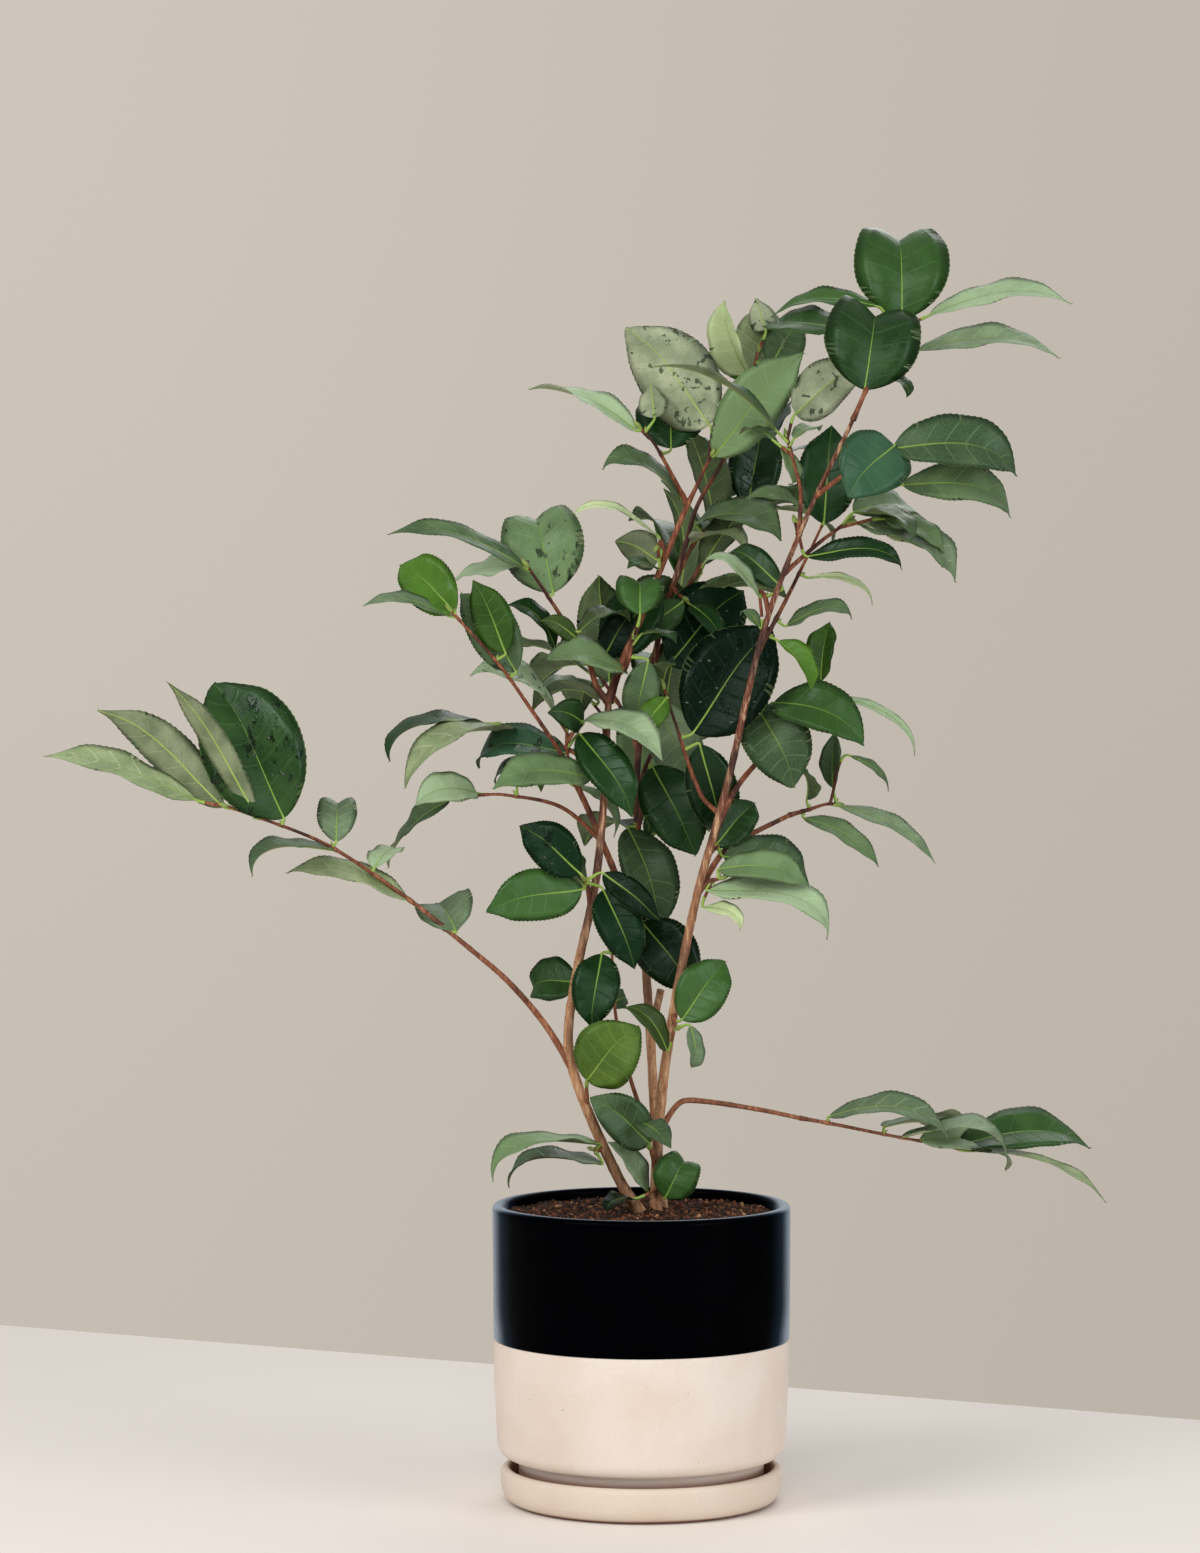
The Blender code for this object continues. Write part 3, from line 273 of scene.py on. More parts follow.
# Painted highlight along the glaze's lower line and on the rim, added to a painted blue-grey
# reflection on edges seen at a grazing angle.
painted_highlight = calc(tree, "ADD", step_up(tree, height, *PAINTED_HIGHLIGHT_BELOW, 0.07, 0.0),
            step_up(tree, height, *PAINTED_HIGHLIGHT_ABOVE, 0.0, 0.10))
facing = put(tree, "ShaderNodeLayerWeight", {"Blend": 0.5}).outputs["Facing"]
painted_reflection_mask = calc(tree, "ADD", facing, painted_highlight)
color = blend_color(tree, step_up(tree, painted_reflection_mask, 0.50, 0.86), depth, linear(30, 47, 64))
color = blend_color(tree, step_up(tree, painted_reflection_mask, 0.66, 0.96), color, linear(160, 172, 184))
set_color(tree, shader, color)
ripple = noise_at(tree, place, 70.0, 2.0)
tree.links.new(step_up(tree, ripple, 0.3, 0.7, 0.24, 0.34), shader.inputs["Roughness"])
add_bump(tree, shader, ripple, 0.00025)
print("clay and glaze ready")

# %% [markdown]
# ## Pot, glaze coat and saucer
# Thrown or cast pots are solids of revolution, so each is one outline turned about the Z axis.
# The outline is where the character lies: a wall that widens by three millimetres up to the
# rim, a soft lower corner, a rim rounded like a finger. Arcs give these curves, and a second
# ring close to each edge keeps it crisp when the surface is shaded smooth.

# %% Turned outlines
ROUND_SIDES = 144
WOBBLE_RISE, WOBBLE_SIZE = 0.02, 1.7   # how fast a hand-made wobble changes up and round a wall


def arc(middle_radius, middle_height, radius, start, end, count):
    """Points of an outline on an arc, from one angle to another in degrees."""
    angles = [math.radians(start + (end - start) * index / count) for index in range(count + 1)]
    return [(middle_radius + radius * math.cos(angle), middle_height + radius * math.sin(angle))
            for angle in angles]


def turned(name, outline, finish, wobble=0.0):
    """A closed solid of revolution from an outline that starts and ends on the axis, or loops."""
    verts, rings = [], []
    for radius, height in outline:
        if rings and (radius, height) == outline[0]:
            rings.append(rings[0])
        elif radius == 0:
            rings.append([len(verts)] * ROUND_SIDES)
            verts.append(Vector((0, 0, height)))
        else:
            rings.append(list(range(len(verts), len(verts) + ROUND_SIDES)))
            for side in range(ROUND_SIDES):
                angle = math.tau * side / ROUND_SIDES
                spot = Vector((math.cos(angle), math.sin(angle), height * WOBBLE_RISE))
                reach = radius + wobble * noise.noise(spot * WOBBLE_SIZE)
                verts.append(Vector((spot.x * reach, spot.y * reach, height)))
    faces = []
    for low, high in zip(rings, rings[1:]):
        for side in range(ROUND_SIDES):
            after = (side + 1) % ROUND_SIDES
            corners = (low[side], low[after], high[after], high[side])
            faces.append(tuple(dict.fromkeys(corners)))
    return new_piece(name, verts, faces, [finish])


# %% Pot, glaze coat and saucer
POT_RADIUS, POT_HEIGHT, WALL = 90.0, 180.0, 6.5
FOOT_RADIUS, FOOT_HEIGHT = 74.0, 6.0
SHOULDER_RADIUS, SHOULDER_HEIGHT, CORNER = 87.0, 36.5, 9.0
GLAZE_LINE, GLAZE_LINE_RADIUS, GLAZE_THICKNESS = 99.0, 89.3, 0.6
SOIL_TOP = 173.0
EDGE = 0.35              # rounding of the glaze's lower edge
LEDGE = 165.0            # how far down inside the pot the mesh reaches
RIM = WALL / 2           # the rim is a half round as wide as the wall

bore = POT_RADIUS - WALL
crest = POT_HEIGHT - RIM
wall_line = [(GLAZE_LINE_RADIUS + (POT_RADIUS - GLAZE_LINE_RADIUS) * part,
              GLAZE_LINE + (crest - GLAZE_LINE) * part) for part in (0.02, 0.25, 0.5, 0.75, 0.95)]
pot = turned("pot_clay", [
    (0, FOOT_HEIGHT), (FOOT_RADIUS - 6, FOOT_HEIGHT)]
    + arc(FOOT_RADIUS - 3, FOOT_HEIGHT + 3, 3, -90, 0, 5)
    + arc(FOOT_RADIUS + 2.5, SHOULDER_HEIGHT - CORNER - 2.5, 2.5, 180, 90, 4)
    + arc(SHOULDER_RADIUS - CORNER, SHOULDER_HEIGHT, CORNER, -85, -4, 10)
    + [(SHOULDER_RADIUS + 0.8, 52), (SHOULDER_RADIUS + 1.7, 72),
       (GLAZE_LINE_RADIUS, GLAZE_LINE - 1), (GLAZE_LINE_RADIUS, GLAZE_LINE - EDGE),
       (GLAZE_LINE_RADIUS - GLAZE_THICKNESS, GLAZE_LINE),
       (POT_RADIUS - GLAZE_THICKNESS, crest), (POT_RADIUS - RIM, POT_HEIGHT - GLAZE_THICKNESS),
       (bore + GLAZE_THICKNESS, crest), (bore, LEDGE), (bore, LEDGE - 5), (0, LEDGE - 5)],
    clay, 0.25)
settle(pot, ["pot"])
coat = turned("pot_glaze_coat", [
    (GLAZE_LINE_RADIUS - GLAZE_THICKNESS - 0.3, GLAZE_LINE + 0.4)]
    + arc(GLAZE_LINE_RADIUS - EDGE + 0.1, GLAZE_LINE + EDGE, EDGE, -90, 0, 4)
    + wall_line + arc(POT_RADIUS - RIM, crest, RIM, 0, 180, 16)
    + [(bore, crest - 4), (bore - 0.4, LEDGE + 2), (bore + 0.8, LEDGE + 2),
       (bore + 0.8, crest), (POT_RADIUS - 1.2, crest),
       (GLAZE_LINE_RADIUS - GLAZE_THICKNESS - 0.3, GLAZE_LINE + 0.4)],
    glaze, 0.25)
settle(coat, ["pot_glaze"])

SAUCER_RADIUS, SAUCER_HEIGHT, SAUCER_FLOOR = 84.9, 21.6, 5.7
SAUCER_BASE_RADIUS, SAUCER_WELL_RADIUS = 77.0, 75.6
LIP = 3.4                # radius of the saucer's rounded lip
saucer = turned("saucer_dish", [
    (0, 0), (SAUCER_BASE_RADIUS - 3, 0), (SAUCER_BASE_RADIUS, 0.3), (SAUCER_RADIUS - 4.5, 2.0),
    (SAUCER_RADIUS - 2.0, 4.6), (SAUCER_RADIUS - 0.6, 8.4), (SAUCER_RADIUS, 13)]
    + arc(SAUCER_RADIUS - LIP, SAUCER_HEIGHT - LIP, LIP, 0, 165, 10)
    + [(SAUCER_RADIUS - 7.4, SAUCER_HEIGHT - 5), (SAUCER_WELL_RADIUS + 1.2, SAUCER_FLOOR + 4),
       (SAUCER_WELL_RADIUS - 1.5, SAUCER_FLOOR + 0.6), (SAUCER_WELL_RADIUS - 4, SAUCER_FLOOR),
       (0, SAUCER_FLOOR)], clay, 0.3)
settle(saucer, ["saucer"])

# %% [markdown]
# ## Geometry Nodes as a workshop
# Some things here repeat by the hundred, such as crumbs of soil and water drops, and others
# follow a path, such as stems, twigs and stalks. Geometry Nodes do both without a loop in the
# script. Each tree has named inputs, and its result is turned into a plain mesh, because
# instances don't survive an export.

# %% Helpers for geometry trees
def new_tree(name, inputs):
    """An empty geometry tree with named inputs; returns it, its inputs and its output node."""
    tree = bpy.data.node_groups.new(name, "GeometryNodeTree")
    tree.interface.new_socket("Geometry", in_out="INPUT", socket_type="NodeSocketGeometry")
    for label, kind in inputs.items():
        tree.interface.new_socket(label, in_out="INPUT", socket_type="NodeSocket" + kind)
    tree.interface.new_socket("Geometry", in_out="OUTPUT", socket_type="NodeSocketGeometry")
    return tree, tree.nodes.new("NodeGroupInput").outputs, tree.nodes.new("NodeGroupOutput")


def close_tree(tree, geometry, given, result):
    """End a tree: make its instances real and give everything its finish."""
    solid = put(tree, "GeometryNodeRealizeInstances", {"Geometry": geometry})
    painted = put(tree, "GeometryNodeSetMaterial", {"Geometry": solid.outputs[0],
                                                    "Material": given["Finish"]})
    tree.links.new(painted.outputs[0], result.inputs[0])


def random_number(tree, low, high, seed):
    """A random number for each point."""
    return put(tree, "FunctionNodeRandomValue", {2: low, 3: high, "Seed": seed},
               data_type="FLOAT").outputs[1]


def random_vector(tree, low, high, seed):
    """A random vector for each point."""
    return put(tree, "FunctionNodeRandomValue", {0: low, 1: high, "Seed": seed},
               data_type="FLOAT_VECTOR").outputs[0]


def scaled(tree, vector, factor):
    """A vector made longer or shorter."""
    return put(tree, "ShaderNodeVectorMath", {0: vector, "Scale": factor},
               operation="SCALE").outputs[0]


SCATTER_INPUTS = {"Amount": "Float", "Smallest": "Float", "Largest": "Float", "Seed": "Int",
                  "Finish": "Material"}


def scatter(tree, given):
    """Random points on the faces of the piece."""
    return put(tree, "GeometryNodeDistributePointsOnFaces",
               {"Mesh": given["Geometry"], "Density": given["Amount"],
                "Seed": given["Seed"]}).outputs


def run_tree(piece, tree, values):
    """Run a tree on a piece with these inputs and keep the result as its plain mesh."""
    modifier = piece.modifiers.new(tree.name, "NODES")
    modifier.node_group = tree
    for item in tree.interface.items_tree:
        if item.name in values:
            modifier[item.identifier] = values[item.name]
    seen = piece.evaluated_get(bpy.context.evaluated_depsgraph_get())
    mesh = bpy.data.meshes.new_from_object(seen)
    piece.modifiers.remove(modifier)
    piece.data = mesh


# %% [markdown]
# ## Soil
# Potting mix is dark, damp and lumpy, with paler flecks of bark and fibre. A shallow mound is
# made as a mesh. On it a tree scatters crumbs: little angular lumps, each turned, stretched and
# sized at random. Every crumb carries a number named shade, which the material turns into a
# colour between peat and straw.

# %% Soil finish
soil_finish, tree, shader = new_finish("potting_mix", 0.93, 0.2)
place = object_place(tree)
shade = number_named(tree, "shade")
fine = noise_at(tree, place, 420.0, 4.0, 0.7)
color = blend_color(tree, step_up(tree, fine, 0.3, 0.75), linear(26, 16, 11), linear(76, 50, 37))
color = blend_color(tree, step_up(tree, shade, 0.55, 0.85), color, linear(118, 74, 52))
color = blend_color(tree, step_up(tree, shade, 0.93, 0.995), color, linear(176, 134, 98))
set_color(tree, shader, color)
add_bump(tree, shader, fine, 0.0008)

# %% Soil bed
SOIL_RINGS, SOIL_SIDES = 30, 96
SOIL_RADIUS = bore - 0.4
SOIL_LIFT = 0.4
HEAP, LUMP = 2.2, 16.0   # mm, height and breadth of the lumps
RISE, RISE_REACH = 1.5, 30.0     # mm, the rise round the stems and how far out it goes
STEMS_AT = (6, 8)        # the middle of the stems' feet


def soil_height(x, y):
    """Height of the soil's surface at a place: lumps, and a rise round the stems."""
    lumps = noise.fractal(Vector((x, y, 0)) / LUMP, 1.0, 2.0, 4)
    away = (x - STEMS_AT[0]) ** 2 + (y - STEMS_AT[1]) ** 2
    rise = RISE * math.exp(-away / RISE_REACH ** 2)
    return SOIL_TOP + min(max(HEAP * lumps, -HEAP), HEAP) + SOIL_LIFT + rise


verts, faces = [Vector((0, 0, soil_height(0, 0)))], []
for ring in range(1, SOIL_RINGS + 1):
    reach = SOIL_RADIUS * ring / SOIL_RINGS
    for side in range(SOIL_SIDES):
        x, y = (reach * part(math.tau * side / SOIL_SIDES) for part in (math.cos, math.sin))
        verts.append(Vector((x, y, soil_height(x, y))))
last = len(verts) - SOIL_SIDES
verts += [Vector((vert.x, vert.y, LEDGE + 1)) for vert in verts[last:]]
for side in range(SOIL_SIDES):
    after = (side + 1) % SOIL_SIDES
    faces.append((0, 1 + side, 1 + after))
    for low in range(1, last, SOIL_SIDES):
        high = low + SOIL_SIDES
        faces.append((low + side, high + side, high + after, low + after))
surface = len(faces)
faces += [face[::-1] for face in band(last, SOIL_SIDES)]
faces.append(tuple(range(last + SOIL_SIDES, last + 2 * SOIL_SIDES))[::-1])
soil = new_piece("soil_bed", verts, faces, [soil_finish])
settle(soil, ["soil"])

# %% Crumbs of soil
CRUMB_TURNS = ((0.0, 0.0, 0.0), (6.28, 6.28, 6.28))
CRUMB_SHAPES = ((0.6, 0.5, 0.4), (1.6, 1.2, 0.9))
BARE_EDGE = 2            # mm of soil without crumbs along the pot's wall

tree, given, result = new_tree("scatter_crumbs", SCATTER_INPUTS)
crumb = put(tree, "GeometryNodeMeshIcoSphere", {"Radius": 1.0, "Subdivisions": 1})
size = random_number(tree, given["Smallest"], given["Largest"], 3)
turn = random_vector(tree, *CRUMB_TURNS, 4)
shape = random_vector(tree, *CRUMB_SHAPES, 5)
copies = put(tree, "GeometryNodeInstanceOnPoints",
             {"Points": scatter(tree, given)["Points"], "Instance": crumb.outputs["Mesh"],
              "Rotation": turn, "Scale": scaled(tree, shape, size)})
marked = put(tree, "GeometryNodeStoreNamedAttribute",
             {"Geometry": copies.outputs[0], "Name": "shade",
              "Value": random_number(tree, 0.0, 1.0, 6)}, data_type="FLOAT", domain="INSTANCE")
close_tree(tree, marked.outputs[0], given, result)

sown = [face for face in faces[:surface]
        if all(verts[index].xy.length < SOIL_RADIUS - BARE_EDGE for index in face)]
crumbs = new_piece("soil_crumbs", verts, sown, [soil_finish])
run_tree(crumbs, tree, {"Amount": 115000.0, "Smallest": 0.0005, "Largest": 0.0019,
                        "Seed": 7, "Finish": soil_finish})
settle(crumbs, ["soil"])

# %% [markdown]
# ## How the plant is drawn
# Every stem, bough and shoot is a row in a table: what it grows from, how high, how thick, and
# a few points that it passes. A smooth curve through those points gives its path. This is the
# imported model's own rule, so each limb comes out where its solid is. Only the low bough on the
# right starts 9 mm lower here, and the stump on the back stem has no solid of its own.

# %% Paths through points
GAP = 0.3                # the solids keep this far apart, and so do the paths that follow them
FINE_STEP = 0.2          # spacing that finds where a limb leaves its parent's surface
HEADING_POINTS = 15      # so many fine steps out, its direction is read
FLARE, FLARE_LENGTH = 1.2, 22.0   # how much a stem widens at its foot, and over what length
TIP = None               # a limb or shoot with this start grows on from its parent's tip
TIP_STEP, STEM_FINE_STEP = 2, 4   # spacing of the close paths of such limbs and of stems
ROOT_DEPTH = 6           # mm, how far a finished stem goes on into the soil


def curve_through(points, step):
    """Points about one step apart on a smooth curve through the given ones."""
    knots = [Vector(point) for point in points]
    knots = [2 * knots[0] - knots[1]] + knots + [2 * knots[-1] - knots[-2]]
    result = []
    for before, start, end, after in zip(knots, knots[1:], knots[2:], knots[3:]):
        span = (end - start).length
        leave = (end - before) * span / ((start - before).length + span)
        arrive = (after - start) * span / ((after - end).length + span)
        count = max(1, round(span / step))
        for index in range(count):
            t = index / count
            result.append(start * (2 * t**3 - 3 * t**2 + 1) + leave * (t**3 - 2 * t**2 + t)
                          + end * (3 * t**2 - 2 * t**3) + arrive * (t**3 - t**2))
    return result + [knots[-2]]


def lengths_along(path):
    """Distance of each path point from the first."""
    total = [0.0]
    for start, end in zip(path, path[1:]):
        total.append(total[-1] + (end - start).length)
    return total


def direction_at(path, index):
    """Unit tangent of a path at one of its points."""
    first = path[max(index - 1, 0)]
    last = path[min(index + 1, len(path) - 1)]
    return (last - first).normalized()


def resample(path, step):
    """The same path with evenly spaced points, about one step apart."""
    total = lengths_along(path)
    count = max(2, round(total[-1] / step))
    result = []
    place = 0
    for index in range(count):
        wanted = total[-1] * index / count
        while total[place + 1] < wanted:
            place += 1
        part = (wanted - total[place]) / (total[place + 1] - total[place])
        result.append(path[place].lerp(path[place + 1], part))
    return result + [path[-1]]


# %% Limbs
class Limb:
    """A tapering limb along a smooth curve. Its close path is for looks, its path for tests."""

    def __init__(self, close, step, foot_radius, tip_radius, foot_normal, joint, flare=1.0):
        self.path = resample(close, step)
        self.total = lengths_along(self.path)
        self.close = close
        self.foot_radius = foot_radius
        self.tip_radius = tip_radius
        self.foot_normal = foot_normal
        self.joint = joint
        self.flare = flare

    def radius_after(self, length):
        """Radius at a distance from the foot."""
        radius = self.foot_radius + (self.tip_radius - self.foot_radius) * length / self.total[-1]
        return radius * (1 + (self.flare - 1) * max(0.0, 1 - length / FLARE_LENGTH) ** 2)

    def index_at_height(self, height):
        """The path point nearest to a height."""
        return min(range(len(self.path)), key=lambda index: abs(self.path[index].z - height))

    def tube(self, sides, extra=0.0):
        """Vertices and faces of the limb as a plain tube, made thicker by extra."""
        tangent = direction_at(self.path, 0)
        across = tangent.cross(Vector((0, 1, 0))).normalized()
        verts = []
        for index, centre in enumerate(self.path):
            turned_to = direction_at(self.path, index)
            across = tangent.rotation_difference(turned_to) @ across
            tangent = turned_to
            for side in range(sides):
                spoke = Matrix.Rotation(math.tau * side / sides, 3, tangent) @ across
                point = centre + spoke * (self.radius_after(self.total[index]) + extra)
                if index == 0:
                    slip = (self.path[0] - point).dot(self.foot_normal)
                    point += tangent * slip / tangent.dot(self.foot_normal)
                verts.append(point)
        last = len(verts) - sides
        faces = [tuple(range(sides))[::-1]]
        for low in range(0, last, sides):
            faces += band(low, sides)
        return verts, faces + [tuple(range(last, len(verts)))]


def start_limb(parent, height, points, foot_radius, tip_radius, step):
    """A limb that grows from a parent's tip, or from its side at a height."""
    if height is TIP:
        normal = direction_at(parent.path, len(parent.path) - 1)
        joint = parent.path[-1]
        close = curve_through([joint + normal * GAP] + list(points), TIP_STEP)
        return Limb(close, step, foot_radius, tip_radius, normal, joint)
    index = parent.index_at_height(height)
    start = parent.path[index]
    close = curve_through([start] + list(points), FINE_STEP)
    heading = close[HEADING_POINTS] - start
    upward = heading.dot(direction_at(parent.path, index)) > 0 and index < len(parent.path) - 1
    axis = (parent.path[index + 1 if upward else index - 1] - start).normalized()
    normal = (heading - axis * heading.dot(axis)).normalized()
    reach = parent.radius_after(parent.total[index]) + GAP
    close = [point for point in close if (point - start).dot(normal) >= reach]
    return Limb(close, step, foot_radius, tip_radius, normal, start)


# name: (parent, start height on the parent, foot radius, tip radius, points)
LIMBS = {
    "stem_left": (None, None, 4.3, 2.6, (
        (0, 0, 173), (-13, -3, 194), (-36, -9, 246), (-44, -10, 276), (-40, -8, 315),
        (-28, -2, 372), (-23, 3, 420), (-20, 5, 482))),
    "stem_right": (None, None, 4.3, 1.5, (
        (9, 8, 173), (9, 5, 199), (14, -3, 262), (31, -17, 358), (51, -28, 434),
        (72, -40, 525), (97, -48, 592), (124, -53, 649))),
    "stem_back": (None, None, 4.1, 2.0, (
        (13, 20, 173), (9, 26, 221), (5, 36, 291), (0, 46, 367), (-2, 54, 445), (12, 60, 526),
        (27, 62, 577))),
    "bough_left_low": ("stem_left", 273, 2.0, 1.4, (
        (-58, -12, 289), (-80, -26, 316), (-102, -38, 336), (-116, -45, 348))),
    "bough_right_low": ("stem_right", 226, 1.8, 1.3, (
        (23, 6, 240), (34, 11, 241), (72, 27, 234), (97, 36, 228))),
    "bough_left_mid": ("stem_back", 340, 2.3, 1.7, (
        (-9, 32, 363), (-21, 20, 391), (-32, 11, 417), (-39, 6, 432))),
    "bough_leader": ("stem_left", TIP, 2.5, 1.6, (
        (-14, 9, 500), (0, 15, 534), (15, 20, 571), (28, 22, 602))),
    "bough_left_fork": ("stem_left", 472, 1.9, 1.4, (
        (-27, 3, 492), (-33, 3, 510), (-42, 3, 523))),
    "bough_right_mid": ("stem_right", 398, 1.9, 1.4, (
        (51, -8, 420), (62, 6, 437), (88, 34, 463))),
    "bough_right_out": ("stem_right", 380, 1.9, 1.4, (
        (48, -6, 391), (62, 12, 400), (91, 44, 413))),
}
STEM_STEP, BOUGH_STEP, TWIG_STEP = 25.0, 18.0, 16.0
BOUGH_SIDES, TWIG_SIDES = 6, 3

limbs = {}
for name, (parent, height, foot_radius, tip_radius, points) in LIMBS.items():
    if parent is None:
        foot = Vector(points[0]) + Vector((0, 0, GAP))
        close = curve_through([foot] + list(points[1:]), STEM_FINE_STEP)
        limbs[name] = Limb(close, STEM_STEP, foot_radius, tip_radius, Vector((0, 0, 1)),
                           Vector(points[0]) - Vector((0, 0, ROOT_DEPTH)), FLARE)
    else:
        limbs[name] = start_limb(limbs[parent], height, points, foot_radius, tip_radius, BOUGH_STEP)
print(len(limbs), "stems and boughs")

# %% [markdown]
# ## Bark
# Young camellia bark is thin, brown to rust, and freckled with dark lenticels. Old leaf scars
# leave a low ring every two centimetres or so. The tree below turns paths into tubes: it reads each
# point's radius, sweeps a circle, then pushes the surface in and out by noise stretched along
# the stem. Stems, boughs, twigs and leaf stalks all come from this one tree, with their own
# number of sides and depth of relief.

# %% Tree that grows tubes along paths
tube_tree, given, result = new_tree("grow_tubes", {
    "Sides": "Int", "Relief": "Float", "Grain": "Float", "Finish": "Material"})
lines = put(tube_tree, "GeometryNodeMeshToCurve", {"Mesh": given["Geometry"]})
width = put(tube_tree, "GeometryNodeInputNamedAttribute", {"Name": "width"}, data_type="FLOAT")
sized = put(tube_tree, "GeometryNodeSetCurveRadius", {"Curve": lines.outputs[0],
                                                      "Radius": width.outputs[0]})
circle = put(tube_tree, "GeometryNodeCurvePrimitiveCircle", {"Resolution": given["Sides"],
                                                            "Radius": 1.0})
swept = put(tube_tree, "GeometryNodeCurveToMesh", {
    "Curve": sized.outputs[0], "Profile Curve": circle.outputs[0], "Fill Caps": True,
    "Scale": put(tube_tree, "GeometryNodeInputRadius").outputs[0]})
where = put(tube_tree, "GeometryNodeInputPosition").outputs[0]
drawn_out = put(tube_tree, "ShaderNodeVectorMath", {0: where, 1: (1.0, 1.0, 0.35)},
                operation="MULTIPLY").outputs[0]
rough = noise_at(tube_tree, drawn_out, given["Grain"], 3.0)
depth = times(tube_tree, calc(tube_tree, "SUBTRACT", rough, 0.5), given["Relief"])
outward = put(tube_tree, "GeometryNodeInputNormal").outputs[0]
moved = put(tube_tree, "GeometryNodeSetPosition", {"Geometry": swept.outputs[0],
                                                   "Offset": scaled(tube_tree, outward, depth)})
soft = put(tube_tree, "GeometryNodeSetShadeSmooth", {"Geometry": moved.outputs[0]})
close_tree(tube_tree, soft.outputs[0], given, result)


def grow_tubes(name, paths, finish, sides, relief, grain):
    """One piece of tubes along paths, each a list of (point, radius) in millimetres."""
    verts, edges, widths = [], [], []
    for path in paths:
        edges += [(len(verts) + index, len(verts) + index + 1) for index in range(len(path) - 1)]
        verts += [point * MM for point, radius in path]
        widths += [radius * MM for point, radius in path]
    mesh = bpy.data.meshes.new(name)
    mesh.from_pydata(verts, edges, [])
    mesh.attributes.new("width", "FLOAT", "POINT").data.foreach_set("value", widths)
    piece = bpy.data.objects.new(name, mesh)
    bpy.context.scene.collection.objects.link(piece)
    run_tree(piece, tube_tree, {"Sides": sides, "Relief": relief * MM, "Grain": grain,
                                "Finish": finish})
    return piece


# %% Bark finish
YOUNG_FROM = (0.30, 0.52)  # heights in metres between which the bark turns rusty


def bark_finish(name, pale, old, young, dark):
    """Bark: brown low down and rusty higher up, with pale streaks, dark patches and freckles."""
    made, tree, shader = new_finish(name, 0.62, 0.35)
    place = object_place(tree)
    uneven = times(tree, noise_at(tree, place, 20.0), 0.10)
    youth = step_up(tree, calc(tree, "ADD", split(tree, place)[2], uneven), *YOUNG_FROM)
    streaks = noise_at(tree, stretched(tree, place, 1.0, 1.0, 0.16), 420.0, 4.0, 0.6)
    patches = noise_at(tree, stretched(tree, place, 1.0, 1.0, 0.4), 75.0, 3.0)
    color = blend_color(tree, youth, old, young)
    color = blend_color(tree, step_up(tree, streaks, 0.48, 0.68, 0.0, 0.65), color, pale)
    shadow = times(tree, step_up(tree, patches, 0.44, 0.62),
                   step_up(tree, youth, 0.0, 1.0, 0.45, 0.9))
    color = blend_color(tree, shadow, color, dark)
    color = blend_color(tree, step_up(tree, streaks, 0.30, 0.46, 0.6, 0.0), color, dark)
    distance, number = cells_at(tree, stretched(tree, place, 1.0, 1.0, 1.9), 330.0)
    freckle = times(tree, step_down(tree, distance, 0.10, 0.26), step_up(tree, number, 0.50, 0.60))
    set_color(tree, shader, wash(tree, color, freckle, 0.8, dark))
    add_bump(tree, shader, calc(tree, "ADD", streaks, times(tree, freckle, 0.5)), 0.0005)
    return made


stem_bark = bark_finish("stem_bark", linear(220, 182, 142), linear(172, 124, 88),
                        linear(98, 50, 33), linear(46, 22, 20))
twig_bark = bark_finish("twig_bark", linear(184, 124, 88), linear(132, 80, 54),
                        linear(118, 62, 38), linear(52, 22, 18))

# %% Stems and boughs
SCAR_SPACING = 17.0      # mm between the rings of old leaf scars
SCAR_HEIGHT, SCAR_WIDTH = 0.07, 1.6   # of the radius, and in mm
COLLAR, COLLAR_LENGTH = 0.30, 7.0     # swelling where a limb leaves its parent, and its length
BARED = 0.78             # a finished stem's share of its solid, which allows for the relief
# What is left of a limb that was cut off the back stem, and how thick it is.
STUMP = ((6, 34, 279), (8, 31, 288), (10, 28, 298), (12, 25, 307))
STUMP_RADIUS = 2.3


def from_joint(limb, step):
    """A limb's path from inside its parent: points, their distances and plain radii."""
    path = resample([limb.joint] + limb.close, step)
    lead = (limb.close[0] - limb.joint).length
    total = lengths_along(path)
    return path, total, [limb.radius_after(min(max(length - lead, 0.0), limb.total[-1]))
                         for length in total]


def bark_path(limb, step, dice):
    """A stem's or bough's path, with rings of old leaf scars and a collar where it starts."""
    path, total, radii = from_joint(limb, step)
    centres, length = [], dice.uniform(4, SCAR_SPACING)
    while length < total[-1]:
        centres.append(length)
        length += SCAR_SPACING * dice.uniform(0.5, 1.5)
    result = []
    for point, length, radius in zip(path, total, radii):
        swell = SCAR_HEIGHT * sum(math.exp(-((length - centre) / SCAR_WIDTH) ** 2)
                                  for centre in centres)
        if limb.flare == 1.0:
            swell += COLLAR * math.exp(-(length / COLLAR_LENGTH) ** 2)
        else:
            radius *= BARED
        result.append((point, radius * (1 + swell)))
    return result


dice = random.Random(3)
STEM_NODES = [name for name in limbs if name.startswith("stem")]
BOUGH_NODES = [name for name in limbs if name.startswith("bough")]
stem_paths = [bark_path(limbs[name], 1.6, dice) for name in STEM_NODES]
stem_paths.append([(point, STUMP_RADIUS) for point in resample(curve_through(STUMP, 1.0), 1.0)])
stems = grow_tubes("stems_bark", stem_paths, stem_bark, 22, 0.6, 300.0)
settle(stems, STEM_NODES)
boughs = grow_tubes("boughs_bark", [bark_path(limbs[name], 1.3, dice) for name in BOUGH_NODES],
                    twig_bark, 16, 0.3, 380.0)
settle(boughs, BOUGH_NODES)

